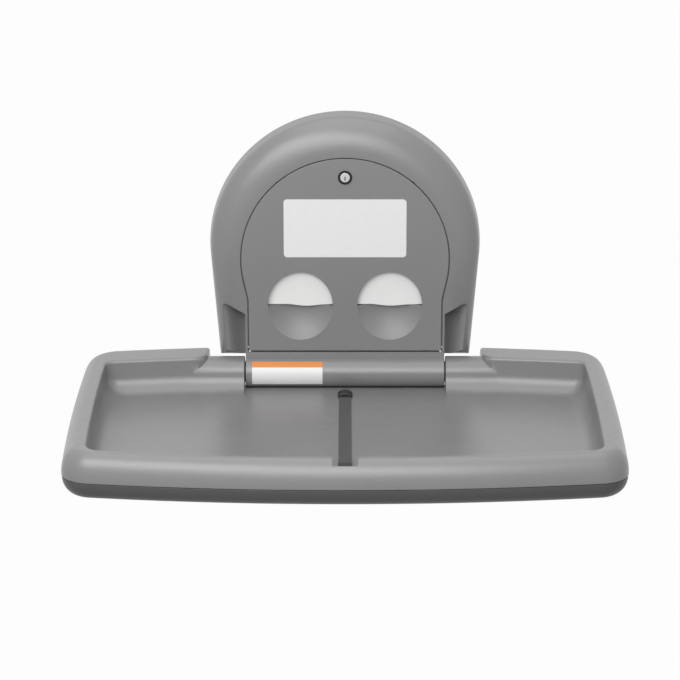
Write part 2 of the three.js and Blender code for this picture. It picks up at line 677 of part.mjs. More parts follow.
function bedTop() {
  const shaftHole = rodX(SHAFT_RADIUS + BORE_GAP, 0, 0, KNUCKLE - 1, KNUCKLE + SKIN + 1);
  const barHole = rodX(BAR_RADIUS + FIT, BAR_T, BAR_Z, -CATCH_HALF - SKIN - 1, CATCH_HALF + SKIN + 1);
  const slotHalf = STRAP_HALF + HOOD_SIDE_GAP;
  const strapSlot = box(-slotHalf, slotHalf, STRAP_SLOT - SLOT_MARGIN, STRAP_SLOT + BEND_RADIUS + SLOT_MARGIN,
    UNDERSIDE, FLOOR + 1);
  let top = bedRim().add(hingeRolls()).subtract(bothSides(shaftHole));
  top = top.add(catchWell).subtract(catchCut).subtract(barHole).subtract(strapSlot);
  for (const [x, t] of bedScrewPlaces) {
    top = top.add(rodZ(SCREW_HOLE + POST_WALL, x, t, UNDERSIDE + SKIN + FIT, ROOF, SMALL_STEPS));
    top = top.subtract(rodZ(SCREW_HOLE, x, t, UNDERSIDE, FLOOR_UNDER + FIT, SMALL_STEPS));
  }
  for (const t of armBoltPlaces) {
    const post = rodZ(ARM_BOLT_HOLE + ARM_POST_WALL, ARM_MIDDLE, t, ARM_TOP + FIT, ROOF, SMALL_STEPS);
    const hole = rodZ(ARM_BOLT_HOLE, ARM_MIDDLE, t, UNDERSIDE, ROOF, SMALL_STEPS);
    top = top.add(bothSides(post)).subtract(bothSides(hole));
  }
  const postFoot = UNDER_RUN - STRAP_THICKNESS / 2;
  const strapPost = rodZ(STRAP_SCREW_HOLE + STRAP_POST_WALL, ...strapScrewPlace, postFoot, ROOF, SMALL_STEPS);
  const strapHole = rodZ(STRAP_SCREW_HOLE, ...strapScrewPlace, UNDERSIDE, ROOF, SMALL_STEPS);
  return top.add(bothSides(strapPost)).subtract(bothSides(strapHole));
}

// Space in the pan for the wall body beside the shoulders and for the hinge barrel, grown by grow
function panNotch(grow) {
  const inner = KNUCKLE + grow;
  const outer = SHOULDER_BACK + NOTCH_SIDE_GAP + grow;
  const low = UNDERSIDE - CUT;
  const high = SEAM + 2 * CUT;
  return box(-outer, outer, 2 * WALL, -ROLL_RADIUS + grow, low, high)
    .add(box(-inner, inner, 2 * WALL, -TROUGH_BACK + grow, low, high))
    .add(rodX(NOTCH_SWING + grow, 0, 0, -inner, inner));
}

function bedPan() {
  const low = UNDERSIDE - CUT;
  const hollow = stackUp([
    ...panNose(PAN_STEPS).slice(1).map(([inset, z]) => [bedOutline(inset + SKIN), z + SKIN]).reverse(),
    [bedOutline(PAN_STEP + SKIN), SEAM + CUT]]);
  let pan = stackUp(panLevels.slice().reverse()).subtract(panNotch(0));
  pan = pan.subtract(hollow.subtract(panNotch(SKIN)));
  pan = pan.subtract(box(-KNUCKLE - SKIN - 1, KNUCKLE + SKIN + 1, -NOTCH_SWING, NOTCH_SWING + SKIN + 1,
    FLOOR_UNDER - FIT, SEAM + CUT));
  const rollSpace = alongX(rollSkin(ROLL_RADIUS + FIT, SHAFT_RADIUS / 2), KNUCKLE - 1, KNUCKLE + SKIN + 1);
  pan = pan.subtract(bothSides(rollSpace));
  for (const [x, t] of bedScrewPlaces) {
    pan = pan.subtract(rodZ(SCREW_HOLE, x, t, low, UNDERSIDE + SKIN + CUT, SMALL_STEPS));
    pan = pan.subtract(rodZ(SCREW_HEAD + BORE_GAP, x, t, low, UNDERSIDE + HEAD_POCKET, SMALL_STEPS));
  }
  return pan;
}

// Screw driven upwards, its head under the seat
function screwUp(x, t, seat, headRadius, shankRadius, tip) {
  const head = rodZ(headRadius, x, t, seat - SCREW_HEAD_HEIGHT, seat, SMALL_STEPS);
  return head.add(rodZ(shankRadius, x, t, seat - SCREW_HEAD_HEIGHT / 2, tip, SMALL_STEPS));
}

add('bed_top', bedTop(), ...GREY);
add('bed_pan', bedPan(), ...DARK_GREY);
bedScrewPlaces.forEach(([x, t], i) => {
  const seat = UNDERSIDE + HEAD_POCKET - SEAT;
  add(`bed_screw_${i + 1}`, screwUp(x, t, seat, SCREW_HEAD, SCREW_RADIUS, FLOOR_UNDER - FIT), ...STEEL);
});

// Hinge

const SHAFT_PIN_X = ARM_X0 + SHAFT_PIN_INSET;
const CLAMP = SHAFT_RADIUS + CLAMP_WALL;
const shaftPinHole = rodZ(SHAFT_PIN_RADIUS + FIT, SHAFT_PIN_X, 0, -CLAMP - 1, CLAMP + 1, SMALL_STEPS);

function hingeArm() {
  const under = ARM_TOP - ARM_THICK;
  const web = [[-WEB_HALF, 0], [-WEB_BACK, under], [WEB_FRONT, under], [WEB_FRONT, ARM_TOP],
    [WEB_CLEAR, ARM_TOP], [WEB_HALF, 0]];
  let arm = rodX(CLAMP, 0, 0, ARM_X0, ARM_X1);
  arm = arm.add(alongX(web, ARM_MIDDLE - WEB_WIDTH / 2, ARM_MIDDLE + WEB_WIDTH / 2));
  arm = arm.add(box(ARM_X0, ARM_X1, ARM_START, ARM_LENGTH, under, ARM_TOP));
  arm = arm.subtract(rodX(SHAFT_RADIUS + FIT, 0, 0, ARM_X0 - 1, ARM_X1 + 1)).subtract(shaftPinHole);
  for (const t of armBoltPlaces) {
    arm = arm.subtract(rodZ(ARM_BOLT_HOLE, ARM_MIDDLE, t, UNDERSIDE, FLOOR, SMALL_STEPS));
  }
  return arm;
}

const SHAFT_HALF = ARM_X1 + SHAFT_BEYOND_ARM;
const hingeShaft = rodX(SHAFT_RADIUS, 0, 0, -SHAFT_HALF, SHAFT_HALF).subtract(bothSides(shaftPinHole));
const thrustWasher = rodX(WASHER_RADIUS, 0, 0, COLUMN_HALF + FIT, KNUCKLE - FIT)
  .subtract(rodX(SHAFT_RADIUS + BORE_GAP, 0, 0, COLUMN_HALF, KNUCKLE));

add('hinge_shaft', hingeShaft, ...STEEL);
addPair('hinge_arm', hingeArm(), ...STEEL);
addPair('shaft_pin', rodZ(SHAFT_PIN_RADIUS, SHAFT_PIN_X, 0, -CLAMP, CLAMP, SMALL_STEPS), ...STEEL);
addPair('thrust_washer', thrustWasher, ...WHITE);
armBoltPlaces.forEach((t, i) => {
  const seat = ARM_TOP - ARM_THICK - SEAT;
  const bolt = screwUp(ARM_MIDDLE, t, seat, ARM_BOLT_HEAD, ARM_BOLT_RADIUS, ROOF - FIT);
  addPair(`arm_bolt_${i + 1}`, bolt, ...STEEL);
});

// Strap, its hood and its plate

function strapHood() {
  const back = STRAP_SLOT - HOOD_BACK;
  const front = STRAP_SLOT + HOOD_FRONT;
  const half = STRAP_HALF + HOOD_SIDE_GAP;
  const arch = arc(0, 0, 1, 0, Math.PI, SMALL_STEPS).map(([c, s]) =>
    [c * (half + HOOD_WALL), FLOOR + FIT + s * HOOD_HEIGHT]);
  const inside = box(-half, half, STRAP_SLOT - SLOT_MARGIN, front + 1, FLOOR, FLOOR + HOOD_MOUTH);
  return alongY(arch, back, front).subtract(inside);
}

function strapPlate() {
  const half = STRAP_HALF + STRAP_PLATE_LAP;
  const middle = STRAP_SLOT + STRAP_PLATE_SETBACK;
  const plate = box(-half, half, middle - STRAP_PLATE_LENGTH / 2, middle + STRAP_PLATE_LENGTH / 2,
    STRAP_PLATE_TOP - STRAP_PLATE_THICK, STRAP_PLATE_TOP);
  return plate.subtract(bothSides(rodZ(STRAP_SCREW_HOLE, ...strapScrewPlace, UNDERSIDE, FLOOR, SMALL_STEPS)));
}

const strapScrew = screwUp(...strapScrewPlace, STRAP_PLATE_TOP - STRAP_PLATE_THICK - SEAT,
  STRAP_SCREW_HEAD, STRAP_SCREW_RADIUS, ROOF - FIT);
const barEnd = CATCH_HALF + SKIN - FIT;

add('strap', alongX(ribbon(strapLine(), STRAP_THICKNESS), -STRAP_HALF, STRAP_HALF), ...WEBBING);
add('strap_hood', strapHood(), ...BLACK);
add('strap_plate', strapPlate(), ...STEEL);
addPair('strap_screw', strapScrew, ...STEEL);
add('strap_bar', rodX(BAR_RADIUS, BAR_T, BAR_Z, -barEnd, barEnd), ...STEEL);

// Cam buckle that slides on the doubled strap

const BUCKLE_INSIDE = STRAP_HALF + BUCKLE_SIDE_GAP;
const BUCKLE_HALF = BUCKLE_INSIDE + BUCKLE_WALL;
const LEVER_T = BUCKLE_FRONT - LEVER_PIN_SETBACK;
const LEVER_Z = TAIL_RUN + STRAP_THICKNESS / 2 + LEVER_PIN_LIFT;
const leverHole = rodX(LEVER_PIN_RADIUS + BORE_GAP, LEVER_T, LEVER_Z,
  -BUCKLE_HALF - 1, BUCKLE_HALF + 1, SMALL_STEPS);

function buckleFrame() {
  const low = FLOOR + STRAP_LIFT;
  const top = LEVER_Z + LEVER_NOSE;
  const cheek = [[BUCKLE_BACK, low], [BUCKLE_FRONT, low], [BUCKLE_FRONT, LEVER_Z], [LEVER_T + LEVER_NOSE, top],
    [LEVER_T - LEVER_NOSE, top], [BUCKLE_BACK, low + CHEEK_BACK_HEIGHT]];
  const base = box(-BUCKLE_HALF, BUCKLE_HALF, BUCKLE_BACK, BUCKLE_FRONT, low, low + BUCKLE_BASE);
  return base.add(bothSides(alongX(cheek, BUCKLE_INSIDE, BUCKLE_HALF))).subtract(leverHole);
}

function buckleLever() {
  const half = BUCKLE_INSIDE - FIT;
  const top = LEVER_Z + LEVER_NOSE;
  const tail = BUCKLE_BACK - LEVER_OVERHANG;
  const profile = [...arc(LEVER_T, LEVER_Z, LEVER_NOSE, -Math.PI * 0.75, Math.PI / 2, SMALL_STEPS),
    [BUCKLE_BACK + LEVER_NOSE, top - LEVER_THICK / 2], [tail, top], [tail, top - LEVER_THICK],
    [BUCKLE_BACK + LEVER_NOSE, top - LEVER_NOSE]];
  return alongX(profile, -half, half).subtract(leverHole);
}

const leverPinEnd = BUCKLE_HALF - FIT;

add('buckle_frame', buckleFrame(), ...BLACK);
add('buckle_lever', buckleLever(), ...BLACK);
add('buckle_pin', rodX(LEVER_PIN_RADIUS, LEVER_T, LEVER_Z, -leverPinEnd, leverPinEnd, SMALL_STEPS), ...STEEL);

// Wall body

const ARCH_STEPS = 36;
const RING_STEPS = 6;
const DOOR_STEPS = 28;

// Front outline of the body, drawn in by inset
function bodyOutline(inset) {
  const radius = BODY_RADIUS - inset;
  const centre = BODY_CENTRE - ARCH_DROP_RATE * inset;
  const bottom = BODY_BOTTOM + FOOT_RISE_RATE * inset;
  const sideX = radius * Math.cos(BODY_TAPER);
  const sideZ = centre - radius * Math.sin(BODY_TAPER);
  const footX = sideX - (sideZ - bottom) * Math.tan(BODY_TAPER);
  return [[-footX, bottom], [footX, bottom],
    ...arc(0, centre, radius, -BODY_TAPER, Math.PI + BODY_TAPER, ARCH_STEPS)];
}

// Quarter-round of the body's ring: [inset, t] from the wall to the front face
function ringNose(steps) {
  const nose = arc(0, 0, 1, 0, Math.PI / 2, steps).map(([c, s]) =>
    [RING_DRAFT + RING_ROUND * (1 - c), FACE - RING_DEPTH * (1 - s)]);
  return [[0, WALL], ...nose];
}

// Door outline, grown by offset, with its own foot height
function doorOutline(offset, foot) {
  const half = DOOR_HALF + offset;
  return [[-half, DOOR_STRAIGHT_TOP], [-half, foot], [half, foot], [half, DOOR_STRAIGHT_TOP],
    ...arc(0, DOOR_CENTRE, DOOR_RADIUS + offset, -DOOR_ARC_LEAN, Math.PI + DOOR_ARC_LEAN, DOOR_STEPS)];
}

// Column with the hinge barrel at its foot: [t, z], drawn in by inset
function columnProfile(inset) {
  const radius = ROLL_RADIUS - inset;
  const front = FACE - inset;
  const meet = Math.asin(front / radius);
  const back = inset > 0 ? WALL - CUT : WALL;
  return [[back, -radius], ...arc(0, 0, radius, -Math.PI / 2, Math.PI / 2 - meet, SMALL_STEPS),
    [front, DOOR_STRAIGHT_TOP], [back, DOOR_STRAIGHT_TOP]];
}

const PIVOT_T = FACE - PIVOT_SETBACK;
const PIVOT_Z = DOOR_BOTTOM + LUG_HALF;
const LUG_OUTER = DOOR_HALF - LUG_INSET;
const LUG_INNER = LUG_OUTER - LUG_WIDTH;
const LUG_SWING = Math.hypot(LUG_BACK, LUG_HALF) + DOOR_GAP;
const POST_REACH = DOOR_RADIUS - TOP_POST_INSET;
const bodyPostPlaces = [
  [DOOR_HALF - BODY_POST_INSET, DOOR_BOTTOM + BODY_POST_RISE],
  [POST_REACH * Math.cos(TOP_POST_ANGLE), DOOR_CENTRE + POST_REACH * Math.sin(TOP_POST_ANGLE)],
];
const SCREW_SEAT = LEDGE_FRONT - SCREW_POCKET;
const PIVOT_HOLE = PIVOT_RADIUS + FIT;

// Recess beside the foot of the column, under a roof that rises outwards
function flankRecesses(grow) {
  const inner = COLUMN_HALF - grow;
  const low = BODY_BOTTOM - CUT;
  const top = RECESS_TOP + grow;
  const outerTop = top + (BODY_RADIUS - inner) * RECESS_SLOPE;
  const outline = [[inner, low], [BODY_RADIUS, low], [BODY_RADIUS, outerTop], [inner, top]];
  return bothSides(alongY(outline, FACE - RECESS_DEPTH - grow, FACE + CUT));
}

// Hollow shell: arched ring, column with the barrel, and the frame that the door closes onto
function bodyShell() {
  const ring = stackForward(ringNose(RING_STEPS).map(([inset, t]) => [bodyOutline(inset), t]))
    .subtract(flankRecesses(0));
  const hollow = stackForward([[bodyOutline(SKIN), WALL - CUT],
    ...ringNose(RING_STEPS).slice(1).map(([inset, t]) => [bodyOutline(inset + SKIN), t - SKIN])])
    .subtract(flankRecesses(SKIN));
  const column = alongX(columnProfile(0), -COLUMN_HALF, COLUMN_HALF);
  const columnHollow = alongX(columnProfile(SKIN), -COLUMN_HALF + SKIN, COLUMN_HALF - SKIN);
  const frame = alongY(doorOutline(DOOR_FRAME - FIT, DOOR_FOOT), LEDGE_BACK, FACE);
  const opening = alongY(doorOutline(-DOOR_LEDGE, DOOR_FOOT), LEDGE_BACK - CUT, FACE + CUT);
  return ring.add(column).subtract(hollow).subtract(columnHollow).add(frame).subtract(opening);
}

function wallBody() {
  let body = bodyShell();
  for (const [x, z] of bodyPostPlaces) {
    body = body.add(bothSides(rodY(BODY_POST_RADIUS, x, z, PLATE_FRONT + FIT, LEDGE_FRONT)));
  }
  body = body.subtract(alongY(doorOutline(DOOR_GAP, DOOR_FOOT), LEDGE_FRONT, FACE + CUT));
  for (const [x, z] of bodyPostPlaces) {
    body = body.subtract(bothSides(rodY(SCREW_HOLE, x, z, WALL, FACE, SMALL_STEPS)));
    body = body.subtract(bothSides(rodY(BODY_SCREW_HEAD + 2 * FIT, x, z, SCREW_SEAT, FACE)));
  }
  const lugSpace = rodX(LUG_SWING, PIVOT_T, PIVOT_Z, LUG_INNER - SLOT_MARGIN, LUG_OUTER + LUG_INSET)
    .intersect(box(0, BED_HALF, WALL, BED_FRONT, DOOR_FOOT, LOCK_Z));
  const pinHole = rodX(PIVOT_HOLE, PIVOT_T, PIVOT_Z, LUG_OUTER, COLUMN_HALF - PIN_END_WALL + FIT, SMALL_STEPS);
  const shaftHole = rodX(SHAFT_RADIUS + BORE_GAP, 0, 0, -COLUMN_HALF - 1, COLUMN_HALF + 1);
  return body.subtract(bothSides(lugSpace.add(pinHole))).subtract(shaftHole);
}

// Wall plate, its bushes and the screws that hold the body on it

const EAR_X = COLUMN_HALF - EAR_SETBACK;
const BUSH_RADIUS = SHAFT_RADIUS + BUSH_WALL;
const PLATE_HALF = COLUMN_HALF - SKIN - PLATE_MARGIN;
const PLATE_FOOT = -ROLL_RADIUS + SKIN + PLATE_FOOT_MARGIN;
const PLATE_TOP = DOOR_CENTRE + DOOR_RADIUS - PLATE_TOP_DROP;
const wallHolePlaces = [[WALL_HOLE_X, WALL_HOLE_LOW], [WALL_HOLE_X, WALL_HOLE_HIGH], [TOP_HOLE_X, TOP_HOLE_Z]];
const binScrewPlace = [WINDOW_X, BIN_SCREW_Z];

function wallPlate() {
  const outline = [[-PLATE_HALF, PLATE_FOOT], [PLATE_HALF, PLATE_FOOT], [PLATE_HALF, BODY_CENTRE],
    [PLATE_TOP_HALF, PLATE_TOP], [-PLATE_TOP_HALF, PLATE_TOP], [-PLATE_HALF, BODY_CENTRE]];
  const rooted = PLATE_FRONT - PLATE / 2;
  const ear = [[rooted, PLATE_FOOT], [-EAR_THROAT, PLATE_FOOT + EAR_THROAT],
    ...arc(0, 0, BUSH_RADIUS + EAR_WALL, -Math.PI / 2, Math.PI / 2, SMALL_STEPS), [rooted, EAR_TOP]];
  let plate = alongY(outline, WALL, PLATE_FRONT);
  plate = plate.add(bothSides(alongX(ear, EAR_X - PLATE / 2, EAR_X + PLATE / 2)));
  plate = plate.subtract(bothSides(rodX(BUSH_RADIUS + FIT, 0, 0, EAR_X - PLATE, EAR_X + PLATE)));
  for (const [x, z] of wallHolePlaces) {
    plate = plate.subtract(bothSides(rodY(WALL_HOLE_RADIUS, x, z, WALL - 1, PLATE_FRONT + 1)));
  }
  for (const [x, z] of [...bodyPostPlaces, binScrewPlace]) {
    plate = plate.subtract(bothSides(rodY(SCREW_HOLE, x, z, WALL - 1, PLATE_FRONT + 1, SMALL_STEPS)));
  }
  return plate;
}

function hingeBush() {
  const sleeve = rodX(BUSH_RADIUS, 0, 0, EAR_X - BUSH_HALF, EAR_X + BUSH_HALF);
  const flange = rodX(BUSH_RADIUS + BUSH_FLANGE, 0, 0, EAR_X + PLATE / 2 + FIT, EAR_X + BUSH_HALF);
  const bore = rodX(SHAFT_RADIUS + FIT, 0, 0, EAR_X - BUSH_HALF - 1, EAR_X + BUSH_HALF + 1);
  return sleeve.add(flange).subtract(bore);
}

// Screw driven towards the wall, its head in front of the seat
function screwBack(x, z, seat) {
  const head = rodY(BODY_SCREW_HEAD, x, z, seat, seat + BODY_SCREW_HEIGHT, SMALL_STEPS);
  return head.add(rodY(SCREW_RADIUS, x, z, WALL + FIT, seat + BODY_SCREW_HEIGHT / 2, SMALL_STEPS));
}

const doorPin = rodX(PIVOT_RADIUS, PIVOT_T, PIVOT_Z, LUG_INNER + 1, COLUMN_HALF - PIN_END_WALL, SMALL_STEPS);

function barrelSticker() {
  const under = ROLL_RADIUS + SEAT;
  const over = under + STICKER_THICK;
  const band = [...arc(0, 0, over, STICKER_FOOT, STICKER_TOP, ROUND_STEPS),
    ...arc(0, 0, under, STICKER_TOP, STICKER_FOOT, ROUND_STEPS)];
  return alongX(band, STICKER_LEFT, STICKER_RIGHT);
}

add('wall_body', wallBody(), ...GREY);
add('wall_plate', wallPlate(), ...STEEL);
addPair('hinge_bush', hingeBush(), ...WHITE);
bodyPostPlaces.forEach(([x, z], i) => {
  addPair(`body_screw_${i + 1}`, screwBack(x, z, SCREW_SEAT + SEAT), ...STEEL);
});
addPair('door_pin', doorPin, ...WHITE);
add('barrel_label', barrelSticker(), ...WHITE);

// Liner bin and liners

const BIN_INNER = WINDOW_X - WINDOW_HALF_WIDTH - BIN_INNER_MARGIN;
const BIN_OUTER = WINDOW_X + WINDOW_HALF_WIDTH + BIN_OUTER_MARGIN;
const BIN_SHELF = WINDOW_Z;
const BIN_TOP = LOCK_Z - BIN_TO_LOCK;
const BIN_BACK = PLATE_FRONT + FIT;
const BIN_INSIDE = BIN_BACK + BIN_WALL;
const BIN_FRONT = FACE - SCOOP_DEPTH - BIN_SCOOP_GAP;

function linerBin() {
  const shell = box(BIN_INNER, BIN_OUTER, BIN_BACK, BIN_FRONT, BIN_SHELF - BIN_WALL, BIN_TOP);
  const inside = box(BIN_INNER + BIN_WALL, BIN_OUTER - BIN_WALL, BIN_INSIDE, FACE, BIN_SHELF, BIN_TOP + CUT);
  const bridge = box(-BIN_INNER - 1, BIN_INNER + 1, BIN_BACK, BIN_INSIDE, BIN_TOP - BIN_BRIDGE, BIN_TOP);
  return bothSides(shell.subtract(inside)).add(bridge)
    .subtract(bothSides(rodY(SCREW_HOLE, ...binScrewPlace, WALL, FACE, SMALL_STEPS)));
}

// Pack of folded paper liners: a wide bundle with a softly waved lower edge that rests on the shelf
function linerPack() {
  const steps = 16;
  const x0 = BIN_INNER + BIN_WALL + LINER_SIDE_GAP;
  const x1 = BIN_OUTER - BIN_WALL - LINER_SIDE_GAP;
  const foot = [];
  for (let i = 0; i <= steps; i += 1) {
    const wave = 1 + Math.sin(2 * Math.PI * LINER_WAVES * i / steps);
    foot.push([x0 + (x1 - x0) * i / steps, BIN_SHELF + FIT + LINER_WAVE * wave]);
  }
  const top = BIN_TOP - LINER_TOP_GAP;
  return alongY([...foot, [x1, top], [x0, top]],
    BIN_INSIDE + BODY_SCREW_HEIGHT + LINER_BACK_GAP, DOOR_BACK - LINER_DOOR_GAP);
}

add('liner_bin', linerBin(), ...DARK_GREY);
addPair('bin_screw', screwBack(...binScrewPlace, BIN_INSIDE + SEAT), ...STEEL);
addPair('liner_pack', linerPack(), ...WHITE);

// Dispenser door with two half-round windows over finger scoops

const LOCK_BARREL = LOCK_RADIUS - LOCK_FLANGE;
const LABEL_BED = FACE - LABEL_RECESS;

// Ball whose shallow cap on the door face is the dish of a scoop, with the window's round as its rim
function scoopBall(grow) {
  const around = 28;
  const downward = 32;
  const mean = (WINDOW_HALF_WIDTH + WINDOW_HALF_HEIGHT) / 2;
  const radius = (mean ** 2 + SCOOP_DEPTH ** 2) / (2 * SCOOP_DEPTH);
  const ball = new THREE.SphereGeometry(radius + grow, around, downward);
  ball.scale(WINDOW_HALF_WIDTH / mean, 1, WINDOW_HALF_HEIGHT / mean);
  ball.translate(WINDOW_X, toY(FACE + radius - SCOOP_DEPTH), WINDOW_Z);
  return solidOf(ball);
}

function dispenserDoor() {
  const behindFace = box(0, BED_HALF, WALL, FACE, DOOR_BOTTOM, WINDOW_Z);
  const underChord = box(0, BED_HALF, WALL, BED_FRONT, 0, WINDOW_Z);
  const window = arc(0, 0, 1, 0, Math.PI, ROUND_STEPS).map(([c, s]) =>
    [WINDOW_X + c * WINDOW_HALF_WIDTH, WINDOW_Z + s * WINDOW_HALF_HEIGHT]);
  const lug = box(LUG_INNER, LUG_OUTER, PIVOT_T - LUG_BACK, FACE, DOOR_BOTTOM, PIVOT_Z + LUG_HALF);
  const pinHole = rodX(PIVOT_HOLE, PIVOT_T, PIVOT_Z, LUG_INNER - 1, COLUMN_HALF, SMALL_STEPS);
  const labelBed = roundedRectangle(LABEL_WIDTH / 2 + FIT, LABEL_HEIGHT / 2 + FIT, 0, LABEL_Z,
    LABEL_CORNER + FIT, SIDE_STEPS);
  let door = alongY(doorOutline(0, DOOR_BOTTOM), DOOR_BACK, FACE);
  door = door.add(bothSides(scoopBall(SCOOP_WALL).intersect(behindFace).add(lug)));
  door = door.subtract(bothSides(scoopBall(0).intersect(underChord)));
  door = door.subtract(bothSides(alongY(window, DOOR_BACK - CUT, FACE + CUT).add(pinHole)));
  door = door.subtract(alongY(labelBed, LABEL_BED, FACE + CUT));
  return door.subtract(rodY(LOCK_BARREL + FIT, 0, LOCK_Z, DOOR_BACK - CUT, FACE + CUT));
}

const labelShape = roundedRectangle(LABEL_WIDTH / 2, LABEL_HEIGHT / 2, 0, LABEL_Z, LABEL_CORNER, SIDE_STEPS);

add('dispenser_door', dispenserDoor(), ...GREY);
add('door_label', alongY(labelShape, LABEL_BED + SEAT, FACE + LABEL_PROUD), ...WHITE);

// Cam lock: housing with a nut behind the door, and a plug that carries the cam

const PLUG_RADIUS = LOCK_RADIUS - LOCK_RING;
const NUT_BACK = DOOR_BACK - NUT_THICK;
const CAM_FRONT = NUT_BACK - CAM_GAP;
const CAM_BACK = CAM_FRONT - CAM_THICK;
const CAM_REACH = DOOR_CENTRE + DOOR_RADIUS + CAM_LAP - LOCK_Z;
const lockRod = (radius, t0, t1, steps) => rodY(radius, 0, LOCK_Z, t0, t1, steps);

function lockHousing() {
  const flange = lockRod(LOCK_RADIUS, FACE + SEAT, FACE + LOCK_PROUD);
  const barrel = lockRod(LOCK_BARREL, NUT_BACK, FACE + LOCK_PROUD / 2);
  return flange.add(barrel).subtract(lockRod(PLUG_RADIUS + FIT, NUT_BACK - CUT, FACE + CUT));
}

function lockPlug() {
  const keyway = box(-KEYWAY_HALF, KEYWAY_HALF, FACE - KEYWAY_DEPTH, FACE + CUT,
    LOCK_Z - KEYWAY_LOW, LOCK_Z + KEYWAY_HIGH);
  const stub = lockRod(CAM_STUB, CAM_BACK, NUT_BACK + 1);
  const screwHole = lockRod(STRAP_SCREW_HOLE, CAM_BACK - 1, CAM_BACK + CAM_SCREW_LENGTH + FIT, SMALL_STEPS);
  return lockRod(PLUG_RADIUS, NUT_BACK, FACE + PLUG_PROUD).subtract(keyway).add(stub).subtract(screwHole);
}

const lockNut = alongY(circle(0, LOCK_Z, LOCK_BARREL + NUT_LAP, 6), NUT_BACK, DOOR_BACK - SEAT)
  .subtract(lockRod(LOCK_BARREL + FIT, NUT_BACK - 1, DOOR_BACK + 1));
const camOutline = roundedRectangle((CAM_REACH + CAM_HALF) / 2, CAM_HALF, (CAM_REACH - CAM_HALF) / 2, LOCK_Z,
  CAM_HALF - SEAT, CORNER_STEPS);
const lockCam = alongY(camOutline, CAM_BACK, CAM_FRONT)
  .subtract(lockRod(CAM_STUB + FIT, CAM_BACK - 1, CAM_FRONT + 1));
const camScrew = lockRod(CAM_SCREW_HEAD, CAM_BACK - SEAT - CAM_SCREW_HEIGHT, CAM_BACK - SEAT)
  .add(lockRod(STRAP_SCREW_RADIUS, CAM_BACK - CAM_SCREW_HEIGHT / 2, CAM_BACK + CAM_SCREW_LENGTH, SMALL_STEPS));

add('lock_housing', lockHousing(), ...BLACK);
add('lock_nut', lockNut, ...STEEL);
add('lock_plug', lockPlug(), ...STEEL);
add('lock_cam', lockCam, ...STEEL);
add('cam_screw', camScrew, ...STEEL);

// Gas spring: fixed cylinder, rod with a slotted yoke, and a crank on the shaft

const HALF_FOLD = FOLD / 2;
const PIN_NEAR = CRANK_RADIUS * Math.cos(HALF_FOLD);
const YOKE_T = -(PIN_NEAR + CRANK_RADIUS) / 2;
const YOKE_Z = CRANK_RADIUS * Math.sin(HALF_FOLD);
const YOKE_SLOT = (CRANK_RADIUS - PIN_NEAR) / 2 + CRANK_PIN + BORE_GAP;
const YOKE_HALF = YOKE_SLOT + YOKE_WALL;
// The rod moves in step with the fold angle, and the pin drifts from it by this much at most
const STEADY_RATE = Math.sin(HALF_FOLD) / HALF_FOLD;
const DRIFT_ANGLE = Math.acos(STEADY_RATE);
const PIN_DRIFT = CRANK_RADIUS * (Math.sin(DRIFT_ANGLE) - DRIFT_ANGLE * STEADY_RATE);
const YOKE_TALL = CRANK_PIN + PIN_DRIFT + YOKE_PLAY;
const CYLINDER_FOOT = YOKE_Z + CYLINDER_TO_YOKE;
const CYLINDER_TOP = CYLINDER_FOOT + CYLINDER_LENGTH;
const GAS_PIN_Z = CYLINDER_TOP + EYE_RISE;
const CRANK_RIGHT = -YOKE_HALF_WIDTH - CRANK_TO_YOKE;
const CRANK_LEFT = CRANK_RIGHT - CRANK_WIDTH;
const gasPinHole = rodX(GAS_PIN + FIT, YOKE_T, GAS_PIN_Z, -BRACKET_BASE_HALF, BRACKET_BASE_HALF);

function crankLever() {
  const hub = SHAFT_RADIUS + CRANK_HUB_WALL;
  const across = [Math.sin(HALF_FOLD), Math.cos(HALF_FOLD)];
  const side = (t, z, reach) => [t + across[0] * reach, z + across[1] * reach];
  const arm = [side(0, 0, hub - 1), side(-PIN_NEAR, YOKE_Z, CRANK_BOSS - 1),
    side(-PIN_NEAR, YOKE_Z, 1 - CRANK_BOSS), side(0, 0, 1 - hub)];
  return rodX(hub, 0, 0, CRANK_LEFT, CRANK_RIGHT)
    .add(rodX(CRANK_BOSS, -PIN_NEAR, YOKE_Z, CRANK_LEFT, CRANK_RIGHT))
    .add(alongX(arm, CRANK_LEFT, CRANK_RIGHT))
    .subtract(rodX(SHAFT_RADIUS + FIT, 0, 0, CRANK_LEFT - 1, CRANK_RIGHT + 1))
    .subtract(rodX(CRANK_PIN + FIT, -PIN_NEAR, YOKE_Z, CRANK_LEFT - 1, CRANK_RIGHT + 1));
}

function rodYoke() {
  const top = YOKE_Z + YOKE_HALF_HEIGHT;
  const block = box(-YOKE_HALF_WIDTH, YOKE_HALF_WIDTH, YOKE_T - YOKE_HALF, YOKE_T + YOKE_HALF,
    YOKE_Z - YOKE_HALF_HEIGHT, top);
  const neck = rodZ(YOKE_NECK, 0, YOKE_T, top - 1, YOKE_Z + YOKE_NECK_TOP);
  const slot = box(-YOKE_HALF_WIDTH - 1, YOKE_HALF_WIDTH + 1, YOKE_T - YOKE_SLOT, YOKE_T + YOKE_SLOT,
    YOKE_Z - YOKE_TALL, YOKE_Z + YOKE_TALL);
  const socket = rodZ(ROD_RADIUS + FIT, 0, YOKE_T, YOKE_Z + ROD_SEAT, YOKE_Z + YOKE_NECK_TOP + 1);
  return block.add(neck).subtract(slot).subtract(socket);
}

